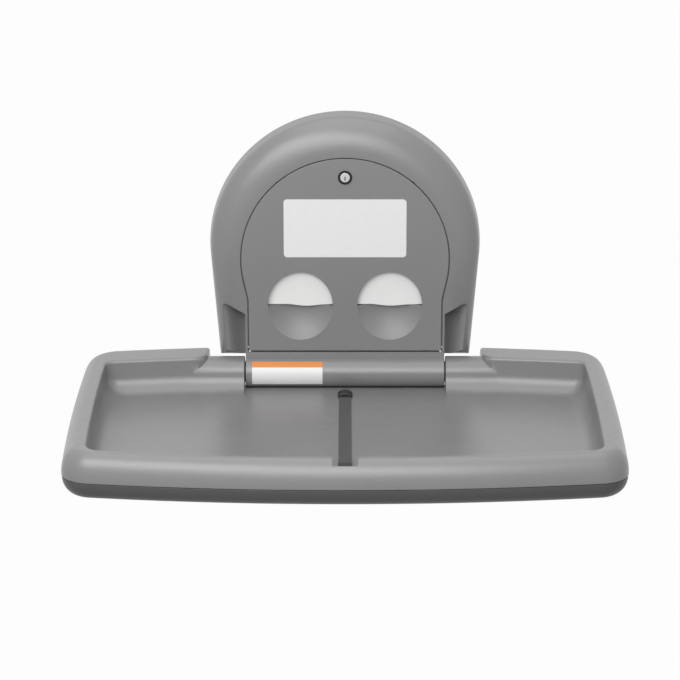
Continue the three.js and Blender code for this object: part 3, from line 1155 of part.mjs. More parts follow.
function gasCylinder() {
  const eye = rodX(EYE_RADIUS, YOKE_T, GAS_PIN_Z, -EYE_RADIUS, EYE_RADIUS);
  const neck = rodZ(EYE_NECK, 0, YOKE_T, CYLINDER_TOP - 1, GAS_PIN_Z);
  const bore = rodZ(ROD_RADIUS + FIT, 0, YOKE_T, CYLINDER_FOOT - 1, CYLINDER_TOP - CYLINDER_CAP);
  return rodZ(CYLINDER_RADIUS, 0, YOKE_T, CYLINDER_FOOT, CYLINDER_TOP)
    .add(eye).add(neck).subtract(bore).subtract(gasPinHole);
}

function gasBracket() {
  const back = PLATE_FRONT + FIT;
  const cheek = box(BRACKET_INSIDE, BRACKET_INSIDE + BRACKET_WALL, back, YOKE_T + BRACKET_HALF,
    GAS_PIN_Z - BRACKET_HALF, GAS_PIN_Z + BRACKET_HALF);
  const base = box(-BRACKET_BASE_HALF, BRACKET_BASE_HALF, back, back + BRACKET_WALL,
    GAS_PIN_Z - BRACKET_BASE_RISE, GAS_PIN_Z + BRACKET_BASE_RISE);
  return base.add(bothSides(cheek)).subtract(gasPinHole);
}

const gasPinEnd = BRACKET_INSIDE + BRACKET_WALL + 1;

add('crank_lever', crankLever(), ...STEEL);
add('crank_pin', rodX(CRANK_PIN, -PIN_NEAR, YOKE_Z, CRANK_LEFT + FIT, YOKE_HALF_WIDTH + 1), ...STEEL);
add('rod_yoke', rodYoke(), ...STEEL);
add('gas_rod', rodZ(ROD_RADIUS, 0, YOKE_T, YOKE_Z + ROD_SEAT + FIT, CYLINDER_FOOT + ROD_INSIDE), ...STEEL);
add('gas_cylinder', gasCylinder(), ...BLACK);
add('gas_bracket', gasBracket(), ...STEEL);
add('gas_pin', rodX(GAS_PIN, YOKE_T, GAS_PIN_Z, -gasPinEnd, gasPinEnd), ...STEEL);

export default group;
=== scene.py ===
"""Looks of a wall-mounted baby changing station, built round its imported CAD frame."""

import json
import math

import bmesh
import bpy
from bpy.props import FloatProperty, FloatVectorProperty, PointerProperty
from mathutils import Matrix, Vector

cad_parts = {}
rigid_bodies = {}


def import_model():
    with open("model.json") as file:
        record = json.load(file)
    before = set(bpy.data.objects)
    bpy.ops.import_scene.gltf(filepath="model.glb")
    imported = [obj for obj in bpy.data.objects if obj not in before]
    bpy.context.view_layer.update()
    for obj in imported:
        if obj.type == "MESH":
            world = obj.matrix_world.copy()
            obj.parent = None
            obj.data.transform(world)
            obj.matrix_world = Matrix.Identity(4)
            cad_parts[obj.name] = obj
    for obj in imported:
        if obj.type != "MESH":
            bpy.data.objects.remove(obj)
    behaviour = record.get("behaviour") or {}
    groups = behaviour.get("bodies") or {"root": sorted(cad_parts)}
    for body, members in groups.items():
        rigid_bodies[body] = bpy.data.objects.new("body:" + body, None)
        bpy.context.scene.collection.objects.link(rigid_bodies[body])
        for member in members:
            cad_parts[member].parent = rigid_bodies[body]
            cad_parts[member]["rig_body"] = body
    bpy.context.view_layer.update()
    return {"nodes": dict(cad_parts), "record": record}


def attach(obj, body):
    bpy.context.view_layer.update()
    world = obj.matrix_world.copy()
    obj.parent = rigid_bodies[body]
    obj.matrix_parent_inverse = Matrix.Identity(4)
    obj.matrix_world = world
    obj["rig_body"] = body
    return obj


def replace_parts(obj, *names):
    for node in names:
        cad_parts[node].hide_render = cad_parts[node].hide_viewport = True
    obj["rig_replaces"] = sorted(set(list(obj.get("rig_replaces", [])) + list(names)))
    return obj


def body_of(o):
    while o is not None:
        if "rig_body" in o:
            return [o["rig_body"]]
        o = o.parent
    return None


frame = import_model()

bl_info = {
    "name": "Baby changing station",
    "version": (1, 0, 0),
    "blender": (4, 5, 0),
    "location": "View3D > Sidebar > Changing station",
    "description": "Builds the shells, webbing, labels and finishes of a fold-down changing station",
    "category": "Object",
}

# Bed sizes in metres
AXIS_TO_WALL = 0.052
AXIS_TO_BACK_EDGE = 0.046
UNDERSIDE = -0.0445
SKIN = 0.0035
SIDE_BOW_RADIUS = 6.660
SIDE_BOW_MIDDLE = 0.232
FRONT_BOW_RADIUS = 2.930
BACK_BOW_RADIUS = 2.730
FRONT_CORNER = 0.052
BACK_CORNER = 0.063
POCKET_CORNER = 0.030
POCKET_BACK_CORNER = 0.018
POCKET_DRAFT = 0.031
POCKET_FILLET = 0.030
RIM_ROUND = 0.026
RIM_RISE = 0.043
BACK_ROUND = 0.016
BACK_RISE = 0.020
POCKET_EDGE_ROUND = 0.005
FOOT_LAP = 0.002
SEAM_ROUND = 0.0012
SEAM_GAP = 0.0007
PAN_STEP = 0.0008
PAN_LIP = 0.002
PAN_ROUND = 0.025
TROUGH_BACK = 0.010
NOTCH_SWING = 0.0295
ROLL_RADIUS = 0.027
KNUCKLE = 0.174
KNUCKLE_ROUND = 0.0015
WASHER_RADIUS = 0.018
WASHER_FIT = 0.0003
SHOULDER_BACK = 0.230
SHOULDER_FRONT = 0.2625
SHOULDER_TURN = 0.026
SHOULDER_ROUND = 0.009
ROLL_LAP = 0.004
STRIP_LAP = 0.015
BASE_PLAY = 0.001
NOTCH_FRONT = 0.01715
NOTCH_SIDE = 0.232
BORE = 0.0084
SCREW_POCKET = 0.0044
SCREW_POCKET_DEPTH = 0.0019
SCREW_PLACES = [(0.363, 0.108), (0.363, 0.434), (0.160, 0.466), (0.092, 0.163)]

# Strap, hood and catch
STRAP_SLOT = 0.05315
STRAP_TUCK = 0.040
RIB_PITCH = 0.0021
YARN_PITCH = 0.0013
STRAP_SIDE_GAP = 0.0005
STRAP_EDGE_SHARE = 0.3
SLOT_BEHIND = 0.002
SLOT_AHEAD = 0.0049
SLOT_RISE = 0.001
LOW_RUN = -0.02285
HIGH_RUN = -0.02055
TAIL_RUN = -0.01865
UNDER_RUN = -0.02865
RAMP_FOOT = 0.364
RAMP_TOP = 0.380
TAIL_END = 0.396
BAR_APPROACH = 0.4795
BAR_T = 0.508
BAR_Z = -0.017
BAR_WRAP = 0.00415
CATCH_HALF = 0.0205
CATCH_BACK = 0.475
HOUSING_BACK = 0.488
CATCH_FRONT = 0.526
CATCH_LIP_FRONT = 0.532
CATCH_LIP_FLOOR = 0.004
HOOD_BACK = 0.0490
HOOD_FRONT = 0.0722
HOOD_HALF = 0.0127
HOOD_HEIGHT = 0.0075
HOOD_MOUTH_HALF = 0.011
HOOD_MOUTH = 0.004
HOOD_ROUND = 0.0012
HOOD_FOOT = 0.001

# Wall body and door
BODY_TAPER = math.radians(4.7)
RING_ROUND = 0.046
RING_DEPTH = 0.038
RING_DRAFT = 0.002
ARCH_DROP_RATE = 0.3
RECESS_TOP = 0.107
RECESS_SLOPE = 0.55
RECESS_ROUND = 0.016
RECESS_HEAD_EDGE = 0.012
RECESS_HEAD_FLOOR = -0.034
RECESS_FOOT_WIDTH = 0.030
RECESS_FOOT_FLOOR = -0.020
COLUMN_HALF = 0.172
COLUMN_ROUND = 0.0015
DOOR_HALF = 0.1663
DOOR_CENTRE = 0.205
DOOR_RADIUS = 0.178
DOOR_ARC_LEAN = math.radians(11.5)
DOOR_STRAIGHT_TOP = 0.132
DOOR_BOTTOM = 0.0405
DOOR_FOOT = 0.0381
DOOR_THICKNESS = 0.0045
DOOR_GAP = 0.0021
DOOR_GROOVE = 0.0028
DOOR_LEDGE = 0.006
DOOR_FRAME = 0.0054
DOOR_ROUND = 0.0009
LEDGE_FRONT = 0.0032
LEDGE_BACK = -0.0003
PIVOT_T = 0.003
PIVOT_Z = 0.046
LUG_INNER = 0.152
LUG_OUTER = 0.165
LUG_HALF = 0.0055
LUG_BACK = 0.006
LUG_SWING = 0.00934
LUG_INNER_GAP = 0.002
LUG_OUTER_GAP = 0.0013
LUG_LAP = 0.001
PIN_WALL = 0.0011
PIVOT_HOLE = 0.0023
POST_PLACES = [(0.1583, 0.075), (0.11398, 0.33845)]
POST_RADIUS = 0.007
POST_FOOT = 0.0033
POST_HOLE = 0.0023
SCREW_SEAT_RADIUS = 0.005
SCREW_SEAT = -0.0008
WINDOW_X = 0.077
WINDOW_Z = 0.1215
WINDOW_HALF_WIDTH = 0.056
WINDOW_HALF_HEIGHT = 0.061
WINDOW_MARGIN = 0.004
SCOOP_DEPTH = 0.019
SCOOP_WALL = 0.0025
SCOOP_LAP = 0.001
SCOOP_REACH = 0.16
SCOOP_FOOT = 0.05
LABEL_HALF_WIDTH = 0.105
LABEL_HALF_HEIGHT = 0.0514
LABEL_Z = 0.2606
LABEL_CORNER = 0.006
LABEL_RECESS = 0.0006
LABEL_PROUD = 0.0003
LABEL_ROUND = 0.0002
DOOR_FIT = 0.0004
GLUE_GAP = 0.00005
STICKER_LEFT = -0.161
STICKER_RIGHT = -0.039
STICKER_TOP = math.radians(57)
STICKER_FOOT = math.radians(-35)
STICKER_BAND = math.radians(33.5)
STICKER_THICK = 0.00035
LOCK_Z = 0.3505
LOCK_RADIUS = 0.012
LOCK_BARREL = 0.0105
PLUG_RADIUS = 0.0084
LOCK_PROUD = 0.002
PLUG_PROUD = 0.0016
PLUG_FIT = 0.0003
LOCK_BACK = 0.0095
LOCK_ROUND = 0.0006
KEYWAY_HALF = 0.0009
KEYWAY_DEPTH = 0.008
KEYWAY_LOW = 0.005
KEYWAY_HIGH = 0.002
# Wafers in black paint close behind the plug face: painted shade that darkens the keyway
SHADED_WAFER_DEPTH = 0.0008
SHADED_WAFER_FIT = 0.0001
CAM_STUB = 0.004
CAM_STUB_LENGTH = 0.0035
CAM_STUB_ROOT = 0.001

# Liners
LINER_LEFT = 0.0188
LINER_RIGHT = 0.1392
LINER_FOOT = 0.1218
LINER_TOP = 0.3105
LINER_BACK = -0.0411
LINER_FRONT = -0.0005
LINER_SHEETS = 9
SHEET_GAP = 0.0003
LINER_WAVE = 0.0005
LINER_WAVES = 1.1
LINER_DROOP = 0.0022
SAG_HALF_WIDTH = 0.032
SAG_SHIFT = 0.009
SHEET_TURN = 0.9
LEFT_TURN = 2.6
RIGHT_TURN = 0.4

# Small CAD pieces that show: finish and edge rounding; the two upper body screws are in black paint as
# painted shade where they show in the door gap
SMALL_PARTS = {
    "buckle_frame": ("dark_plastic", 0.0004),
    "buckle_lever": ("dark_plastic", 0.0004),
    # Black paint on these screws is painted shade: their heads show in the door gap and keep it dark
    "body_screw_2_left": ("black_paint", 0.0003),
    "body_screw_2_right": ("black_paint", 0.0003),
}

# Stage, with the place and size of each lamp
FLOOR_SIZE = 30
FLOOR_GREY = 0.3
FLOOR_WHITE = 0.975
LIGHT_TARGET = Vector((0, -0.25, 0.1))
LAMPS = {
    "left": ((-1.4, -2.4, 1.9), 1.7),
    "front": ((0, -3.4, 1.6), 1.7),
    "high": ((0, -2.5, 2.0), 1.7),
    "top": ((0, -0.3, 2.4), 2.5),
}
CAMERA_PLACE = (0, -4.839, 1.623)
CAMERA_TILT = math.radians(18.11)
CAMERA_LENS = 153.85
CAMERA_SENSOR = 36.0
CAMERA_SHIFT = -0.0074

# Steps along round stretches
BACK_STEPS = 10
CORNER_STEPS = 16
SIDE_STEPS = 16
FRONT_STEPS = 18
SEAM_STEPS = 3
EDGE_STEPS = 6
TURN_STEPS = 14
NOSE_STEPS = 18
WALL_STEPS = 16
PAN_STEPS = 12
ROLL_STEPS = 36
ARCH_STEPS = 96
RING_STEPS = 16
DOOR_STEPS = 72
BARREL_STEPS = 40
WINDOW_STEPS = 64
BALL_STEPS = 96
STRAP_STEPS = 12
HOOD_STEPS = 32
LABEL_STEPS = 8
FOOT_STEPS = 60
ROD_STEPS = 48
FINE_ROD_STEPS = 64
SMALL_ROD_STEPS = 24
POST_STEPS = 32
HOLE_STEPS = 16
TROUGH_STEPS = 96
ROUND_SEGMENTS = 3
FINE_SEGMENTS = 2
RECESS_SEGMENTS = 10

# How far a cutting solid stands out, how close counts as the same place, and a reach past everything
CUT = 0.005
NEAR = 0.00001
FAR = 1.0

# Angles, and how much large faces lead in even shading
QUARTER = math.pi / 2
SHARP_ANGLE = math.radians(40)
SMOOTH_BELOW = math.radians(32)
FLAT_BELOW = math.radians(0.2)
LARGE_FACE_WEIGHT = 100


def length_property(name, description, metres):
    return FloatProperty(name=name, description=description, default=metres, unit="LENGTH")


def power_property(name, description, watts):
    return FloatProperty(name=name, description=description, default=watts, unit="POWER")


def colour_property(name, description, rgb):
    return FloatVectorProperty(
        name=name, description=description, size=3, subtype="COLOR", min=0.0, max=1.0, default=rgb)


class BedSizes(bpy.types.PropertyGroup):
    """Sizes of the bed that a user may change"""

    width: length_property("Width", "Bed from side to side", 0.910)
    depth: length_property("Depth", "Bed from back edge to front edge", 0.588)
    rim_height: length_property("Rim height", "Rim above the hinge axis", 0.033)
    seam_drop: length_property("Seam drop", "Seam of the two shells below the hinge axis", 0.013)
    floor_drop: length_property("Floor drop", "Floor below the hinge axis", 0.024)
    side_rim: length_property("Side rim", "Width of the rim at the sides", 0.041)
    front_rim: length_property("Front rim", "Width of the rim at the front", 0.034)
    strap_width: length_property("Strap width", "Width of the webbing", 0.021)
    strap_thickness: length_property("Strap thickness", "Thickness of the webbing", 0.0015)


class BodySizes(bpy.types.PropertyGroup):
    """Sizes of the wall body that a user may change"""

    radius: length_property("Radius", "Radius of the arched body", 0.2335)
    centre: length_property("Centre", "Arch centre above the hinge axis", 0.219)
    bottom: length_property("Bottom", "Foot of the body's flanks above the hinge axis", 0.023)
    face: length_property("Face", "Front face of the body in front of the hinge axis", 0.008)


class FinishColours(bpy.types.PropertyGroup):
    """Colours of the finishes"""

    shell: colour_property("Shell", "Upper bed shell, wall body and door", (0.222, 0.222, 0.226))
    base: colour_property("Base", "Lower shell of the bed", (0.092, 0.092, 0.095))
    webbing: colour_property("Webbing", "Safety strap", (0.052, 0.052, 0.054))
    dark: colour_property("Dark plastic", "Hood, washers and buckle", (0.022, 0.022, 0.024))
    header: colour_property("Header", "Upper band of the label on the barrel", (0.80, 0.27, 0.06))


class StageSettings(bpy.types.PropertyGroup):
    """Floor and light round the object"""

    floor_height: length_property("Floor height", "Pale floor relative to the hinge axis", -0.85)
    left_power: power_property("Left power", "Soft light from the front and the left", 31.0)
    front_power: power_property("Front power", "Soft light from the front", 26.0)
    high_power: power_property("High power", "Soft light from high in front", 10.0)
    top_power: power_property("Top power", "Wide soft light from above", 17.0)
    ambient: FloatProperty(
        name="Ambient", description="Strength of the light from all round", default=0.42)


def bed_sizes():
    return bpy.context.scene.station_bed


def body_sizes():
    return bpy.context.scene.station_body


# Plan and profile curves

def place(x, t, z):
    """Point at x across, t in front of the hinge axis and z above it"""
    return Vector((x, -AXIS_TO_WALL - t, z))


def arc(u, v, radius, start, end, steps):
    angles = [start + (end - start) * i / steps for i in range(steps + 1)]
    return [(u + radius * math.cos(a), v + radius * math.sin(a)) for a in angles]


def unit_arc(start, end, steps):
    return arc(0, 0, 1, start, end, steps)


def mirror_half(half):
    return half + [(-x, t) for x, t in reversed(half[:-1])]


def crossing(first, first_radius, second, second_radius):
    """Right-hand point where two circles cross"""
    across = (second[0] - first[0], second[1] - first[1])
    distance = math.hypot(*across)
    unit = (across[0] / distance, across[1] / distance)
    along = (first_radius ** 2 - second_radius ** 2 + distance ** 2) / (2 * distance)
    height = math.sqrt(first_radius ** 2 - along ** 2)
    middle = (first[0] + unit[0] * along, first[1] + unit[1] * along)
    return max((middle[0] - unit[1] * h, middle[1] + unit[0] * h) for h in (height, -height))


def angle_to(start, end):
    return math.atan2(end[1] - start[1], end[0] - start[0])


def front_edge():
    return bed_sizes().depth - AXIS_TO_BACK_EDGE


def foot_reach():
    """Where the hollow foot of the hinge roll runs out on the floor"""
    return math.sqrt((ROLL_RADIUS + POCKET_FILLET) ** 2 - (POCKET_FILLET - bed_sizes().floor_drop) ** 2)


def pocket_back():
    return foot_reach() - POCKET_DRAFT


def bowed_plan(insets, rims, back_edge, corners):
    """Plan with bowed sides, front and back

    insets are for the sides and front and for the back, rims lie outside the plan at the sides and front,
    back_edge is a point on the right of the back edge, and corners are the front and back corner radii.
    """
    side = (bed_sizes().width / 2 - SIDE_BOW_RADIUS, SIDE_BOW_MIDDLE)
    front = (0, front_edge() - FRONT_BOW_RADIUS)
    back = (0, back_edge[1] + math.sqrt(BACK_BOW_RADIUS ** 2 - back_edge[0] ** 2))
    side_radius = SIDE_BOW_RADIUS - rims[0] - insets[0]
    front_radius = FRONT_BOW_RADIUS - rims[1] - insets[0]
    back_radius = BACK_BOW_RADIUS - insets[1]
    front_corner = crossing(side, side_radius - corners[0], front, front_radius - corners[0])
    back_corner = crossing(side, side_radius - corners[1], back, back_radius - corners[1])
    back_start = -math.acos(SHOULDER_BACK / back_radius)
    back_end = angle_to(back, back_corner)
    side_start = angle_to(side, back_corner)
    side_end = angle_to(side, front_corner)
    front_end = angle_to(front, front_corner)
    return mirror_half(
        arc(*back, back_radius, back_start, back_end, BACK_STEPS)
        + arc(*back_corner, corners[1], back_end, side_start, CORNER_STEPS)[1:]
        + arc(*side, side_radius, side_start, side_end, SIDE_STEPS)[1:]
        + arc(*front_corner, corners[0], side_end, front_end, FRONT_STEPS)[1:]
        + arc(*front, front_radius, front_end, QUARTER, FRONT_STEPS)[1:])


def bed_outline(inset, back_inset=None):
    """Outer plan of the bed, drawn in by inset, and by back_inset at the back"""
    insets = (inset, inset if back_inset is None else back_inset)
    return bowed_plan(insets, (0, 0), (SHOULDER_BACK, -AXIS_TO_BACK_EDGE),
                      (FRONT_CORNER - inset, BACK_CORNER - inset))


def pocket_outline(inset):
    """Plan of the hollow that the child lies in, drawn in by inset all round"""
    bed = bed_sizes()
    return bowed_plan((inset, inset), (bed.side_rim, bed.front_rim), (SHOULDER_FRONT, pocket_back()),
                      (POCKET_CORNER, POCKET_BACK_CORNER))


def rim_inset(rounding, rise, z):
    """Inset of a rounded rim at height z"""
    up = max(0, (z - bed_sizes().rim_height + rise) / rise)
    return rounding * (1 - math.sqrt(max(0, 1 - up ** 2)))


def rim_nose():
    """Edge of the upper shell: inset, back inset and height, from the seam up to the rim top"""
    bed = bed_sizes()
    seam = -bed.seam_drop
    springing = bed.rim_height - RIM_RISE
    lip = [(SEAM_ROUND * (1 - c), seam + SEAM_ROUND * (1 + s))
           for c, s in unit_arc(-QUARTER, 0, SEAM_STEPS)]
    nose = [(RIM_ROUND * (1 - c), springing + RIM_RISE * s)
            for c, s in unit_arc(0, QUARTER, NOSE_STEPS)]
    return ([(inset, inset, z) for inset, z in lip]
            + [(inset, rim_inset(BACK_ROUND, BACK_RISE, z), z) for inset, z in nose])


def pan_nose():
    """Edge of the lower shell: inset and height, from the seam down to the underside"""
    top = -bed_sizes().seam_drop - SEAM_GAP
    springing = top - PAN_LIP
    lip = [(PAN_STEP + SEAM_ROUND * (1 - c), top - SEAM_ROUND * (1 - s))
           for c, s in unit_arc(QUARTER, 0, SEAM_STEPS)]
    nose = [(PAN_STEP + PAN_ROUND * (1 - c), springing + (UNDERSIDE - springing) * s)
            for c, s in unit_arc(0, QUARTER, PAN_STEPS)]
    return lip + nose


def pocket_edge():
    """Rounded rim edge of the hollow: inset and height"""
    top = bed_sizes().rim_height
    return [(-POCKET_EDGE_ROUND * (1 - c), top - POCKET_EDGE_ROUND * (1 - s))
            for c, s in unit_arc(QUARTER, 0, EDGE_STEPS)]


def pocket_wall():
    """Wall of the hollow: inset and height, from under the rim edge down to the floor"""
    floor = -bed_sizes().floor_drop
    foot = POCKET_DRAFT - POCKET_FILLET
    return [(foot + POCKET_FILLET * (1 + c), floor + POCKET_FILLET * (1 + s))
            for c, s in unit_arc(math.pi, 3 * QUARTER, WALL_STEPS)]


def roll_profile(outer, inner):
    """Profile of the hinge roll with its hollow foot running out onto the floor"""
    bed = bed_sizes()
    floor = -bed.floor_drop
    rise = floor + POCKET_FILLET
    reach = foot_reach()
    meet = math.atan2(rise, reach)
    back = math.pi + math.asin(bed.seam_drop / ROLL_RADIUS)
    over = arc(0, 0, outer, back, meet, ROLL_STEPS)
    hollow = POCKET_FILLET + ROLL_RADIUS - outer
    foot = arc(reach, rise, hollow, math.pi + meet, 3 * QUARTER, TURN_STEPS)[1:]
    return over + foot + [(reach, floor - SKIN), (inner, floor - SKIN), (-inner, -bed.seam_drop)]


def flank_edge(z, inset=0):
    """Half width of the wall body at a height below its arch, drawn in by inset"""
    body = body_sizes()
    radius = body.radius - inset
    side_x = radius * math.cos(BODY_TAPER)
    side_z = body.centre - ARCH_DROP_RATE * inset - radius * math.sin(BODY_TAPER)
    return side_x - (side_z - z) * math.tan(BODY_TAPER)


def body_outline(inset):
    """Front outline of the wall body, drawn in by inset"""
    body = body_sizes()
    bottom = body.bottom + inset
    foot_x = flank_edge(bottom, inset)
    centre = body.centre - ARCH_DROP_RATE * inset
    return ([(-foot_x, bottom), (foot_x, bottom)]
            + arc(0, centre, body.radius - inset, -BODY_TAPER, math.pi + BODY_TAPER, ARCH_STEPS))


def ring_nose():
    """Quarter-round of the body's ring: inset and t, from the wall to the front face"""
    face = body_sizes().face
    nose = [(RING_DRAFT + RING_ROUND * (1 - c), face - RING_DEPTH * (1 - s))
            for c, s in unit_arc(0, QUARTER, RING_STEPS)]
    return [(0, -AXIS_TO_WALL)] + nose


def door_outline(offset, foot):
    """Door outline, grown by offset, with its own foot height"""
    half = DOOR_HALF + offset
    lean = DOOR_ARC_LEAN
    return ([(-half, DOOR_STRAIGHT_TOP), (-half, foot), (half, foot), (half, DOOR_STRAIGHT_TOP)]
            + arc(0, DOOR_CENTRE, DOOR_RADIUS + offset, -lean, math.pi + lean, DOOR_STEPS))


def column_profile(inset):
    """Column with the hinge barrel at its foot, drawn in by inset"""
    radius = ROLL_RADIUS - inset
    front = body_sizes().face - inset
    meet = math.asin(front / radius)
    back = -AXIS_TO_WALL - (CUT if inset > 0 else 0)
    return ([(back, -radius)] + arc(0, 0, radius, -QUARTER, QUARTER - meet, BARREL_STEPS)
            + [(front, DOOR_STRAIGHT_TOP), (back, DOOR_STRAIGHT_TOP)])


def label_outline(grow):
    """Outline of the door label with round corners, grown by grow"""
    half_x = LABEL_HALF_WIDTH + grow - LABEL_CORNER
    half_z = LABEL_HALF_HEIGHT + grow - LABEL_CORNER
    points = []
    for i, (side, up) in enumerate([(1, 1), (-1, 1), (-1, -1), (1, -1)]):
        middle = (side * half_x, LABEL_Z + up * half_z)
        points += arc(*middle, LABEL_CORNER, i * QUARTER, (i + 1) * QUARTER, LABEL_STEPS)
    return points


# Solids

def ring_of(bm, points):
    verts = [bm.verts.new(point) for point in points]
    return [bm.edges.new((verts[i - 1], verts[i])) for i in range(len(verts))]


def loft(levels):
    """Closed solid through rings of equally many points"""
    bm = bmesh.new()
    rings = [ring_of(bm, level) for level in levels]
    for lower, upper in zip(rings, rings[1:]):
        bmesh.ops.bridge_loops(bm, edges=lower + upper)
    bmesh.ops.edgeloop_fill(bm, edges=rings[0])
    bmesh.ops.edgeloop_fill(bm, edges=rings[-1])
    bmesh.ops.recalc_face_normals(bm, faces=bm.faces)
    return bm


def stack_up(levels):
    return loft([[place(x, t, z) for x, t in outline] for outline, z in levels])


def stack_forward(levels):
    return loft([[place(x, t, z) for x, z in outline] for outline, t in levels])


def along_x(profile, x0, x1):
    return loft([[place(x, t, z) for t, z in profile] for x in (x0, x1)])


def along_y(profile, t0, t1):
    return stack_forward([(profile, t0), (profile, t1)])


def along_z(profile, z0, z1):
    return stack_up([(profile, z0), (profile, z1)])


def box(x0, x1, t0, t1, z0, z1):
    return along_z([(x0, t0), (x1, t0), (x1, t1), (x0, t1)], z0, z1)


def rod(radius, start, end, segments=ROD_STEPS):
    bm = bmesh.new()
    axis = end - start
    turn = axis.to_track_quat("Z", "Y").to_matrix().to_4x4()
    bmesh.ops.create_cone(
        bm, cap_ends=True, segments=segments, radius1=radius, radius2=radius, depth=axis.length,
        matrix=Matrix.Translation((start + end) / 2) @ turn)
    return bm


def rod_across(radius, x0, x1, t=0, z=0, segments=ROD_STEPS):
    return rod(radius, place(x0, t, z), place(x1, t, z), segments)


def rod_forward(radius, x, z, t0, t1, segments=ROD_STEPS):
    return rod(radius, place(x, t0, z), place(x, t1, z), segments)


def merged(*parts):
    """One mesh that holds several solids"""
    mesh = bpy.data.meshes.new("joined")
    whole = bmesh.new()
    for part in parts:
        part.to_mesh(mesh)
        whole.from_mesh(mesh)
        part.free()
    bpy.data.meshes.remove(mesh)
    return whole


def mirrored(bm):
    copy = bm.copy()
    bmesh.ops.scale(copy, vec=(-1, 1, 1), verts=copy.verts)
    bmesh.ops.reverse_faces(copy, faces=copy.faces)
    return copy


def both_sides(bm):
    return merged(mirrored(bm), bm)


def working_object(bm):
    mesh = bpy.data.meshes.new("working")
    bm.to_mesh(mesh)
    bm.free()
    obj = bpy.data.objects.new("working", mesh)
    bpy.context.scene.collection.objects.link(obj)
    return obj


def combine(first, second, operation):
    """Boolean of two closed solids"""
    target = working_object(first)
    tool = working_object(second)
    modifier = target.modifiers.new("combine", "BOOLEAN")
    modifier.operation = operation
    modifier.solver = "MANIFOLD"
    modifier.object = tool
    graph = bpy.context.evaluated_depsgraph_get()
    result = bmesh.new()
    result.from_object(target, graph)
    for obj in (target, tool):
        mesh = obj.data
        bpy.data.objects.remove(obj)
        bpy.data.meshes.remove(mesh)
    if not result.faces:
        raise RuntimeError("a boolean left nothing")
    return result


def cut(first, second):
    return combine(first, second, "DIFFERENCE")


def join(first, second):
    return combine(first, second, "UNION")


def keep_inside(first, second):
    return combine(first, second, "INTERSECT")


def soften(bm, width, chosen, segments=ROUND_SEGMENTS):
    """Rounds the edges that the test picks out"""
    edges = [edge for edge in bm.edges if len(edge.link_faces) == 2 and chosen(edge)]
    if edges:
        bmesh.ops.bevel(
            bm, geom=edges, offset=width, offset_type="OFFSET", segments=segments, profile=0.5,
            affect="EDGES", clamp_overlap=True, material=-1)
    return bm


def is_sharp(edge):
    return edge.calc_face_angle(0) > SHARP_ANGLE


def keeps_x(edge):
    return abs(edge.verts[0].co.x - edge.verts[1].co.x) < NEAR


def lies_at(t):
    """Test for edges that lie at t"""
    y = -AXIS_TO_WALL - t
    return lambda edge: all(abs(v.co.y - y) < NEAR for v in edge.verts)


def tidy_faces(bm):
    """Merges doubles and flat neighbours that a boolean leaves behind"""
    bmesh.ops.remove_doubles(bm, verts=bm.verts, dist=NEAR)
    bmesh.ops.dissolve_limit(bm, angle_limit=FLAT_BELOW, verts=bm.verts, edges=bm.edges, delimit=set())
    return bm


def finish_piece(name, bm, body, slot, nodes, material=None):
    """Puts a solid into the scene as a piece of the object, in the finish of its slot or in one given"""
    for face in bm.faces:
        face.smooth = True
    for edge in bm.edges:
        edge.smooth = len(edge.link_faces) == 2 and edge.calc_face_angle(0) < SMOOTH_BELOW
    mesh = bpy.data.meshes.new(name)
    bm.to_mesh(mesh)
    bm.free()
    mesh.materials.append(material or finish_for(slot))
    obj = bpy.data.objects.new(name, mesh)
    bpy.context.scene.collection.objects.link(obj)
    even = obj.modifiers.new("even_shading", "WEIGHTED_NORMAL")
    even.keep_sharp = True
    even.weight = LARGE_FACE_WEIGHT
    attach(obj, body)
    if nodes:
        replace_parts(obj, *nodes)
    return obj


# Finishes

class Wire:
    """A shader socket that takes part in Python expressions"""

    def __init__(self, finish, socket):
        self.finish = finish
        self.socket = socket

    def math(self, operation, other):
        return self.finish.node("ShaderNodeMath", {0: self, 1: other}, operation=operation)

    def __add__(self, other):
        return self.math("ADD", other)

    def __mul__(self, other):
        return self.math("MULTIPLY", other)

    def __gt__(self, other):
        return self.math("GREATER_THAN", other)


class Finish:
    """A material whose nodes are written as expressions"""

    def __init__(self, name):
        self.material = bpy.data.materials.new(name)
        self.material.use_nodes = True
        self.tree = self.material.node_tree
        self.shader = self.tree.nodes["Principled BSDF"]

    def node(self, kind, sockets, output=0, **settings):
        node = self.tree.nodes.new(kind)
        for name, value in settings.items():
            setattr(node, name, value)
        for name, value in sockets.items():
            self.feed(node.inputs[name], value)
        return Wire(self, node.outputs[output])

    def feed(self, socket, value):
        if isinstance(value, Wire):
            self.tree.links.new(value.socket, socket)
        elif isinstance(value, (int, float)):
            socket.default_value = value
        else:
            wanted = len(socket.default_value)
            socket.default_value = [*value, 1.0][:wanted]

    def set(self, **sockets):
        for name, value in sockets.items():
            self.feed(self.shader.inputs[name.replace("_", " ")], value)

    def sine(self, value):
        return self.node("ShaderNodeMath", {0: value}, operation="SINE")

    def place(self):
        return self.node("ShaderNodeTexCoord", {}, "Object")

    def axis(self, letter):
        return self.node("ShaderNodeSeparateXYZ", {0: self.place()}, letter)

    def noise(self, scale, detail=2.0, roughness=0.5, vector=None):
        return self.node("ShaderNodeTexNoise", {
            "Vector": vector or self.place(), "Scale": scale, "Detail": detail, "Roughness": roughness})

    def blend(self, factor, first, second):
        return self.node("ShaderNodeMix", {0: factor, 6: first, 7: second}, 2, data_type="RGBA")

    def bump(self, height, strength, distance):
        return self.node("ShaderNodeBump", {"Height": height, "Strength": strength, "Distance": distance})


def shade(colour, factor):
    return tuple(min(channel * factor, 1.0) for channel in colour)


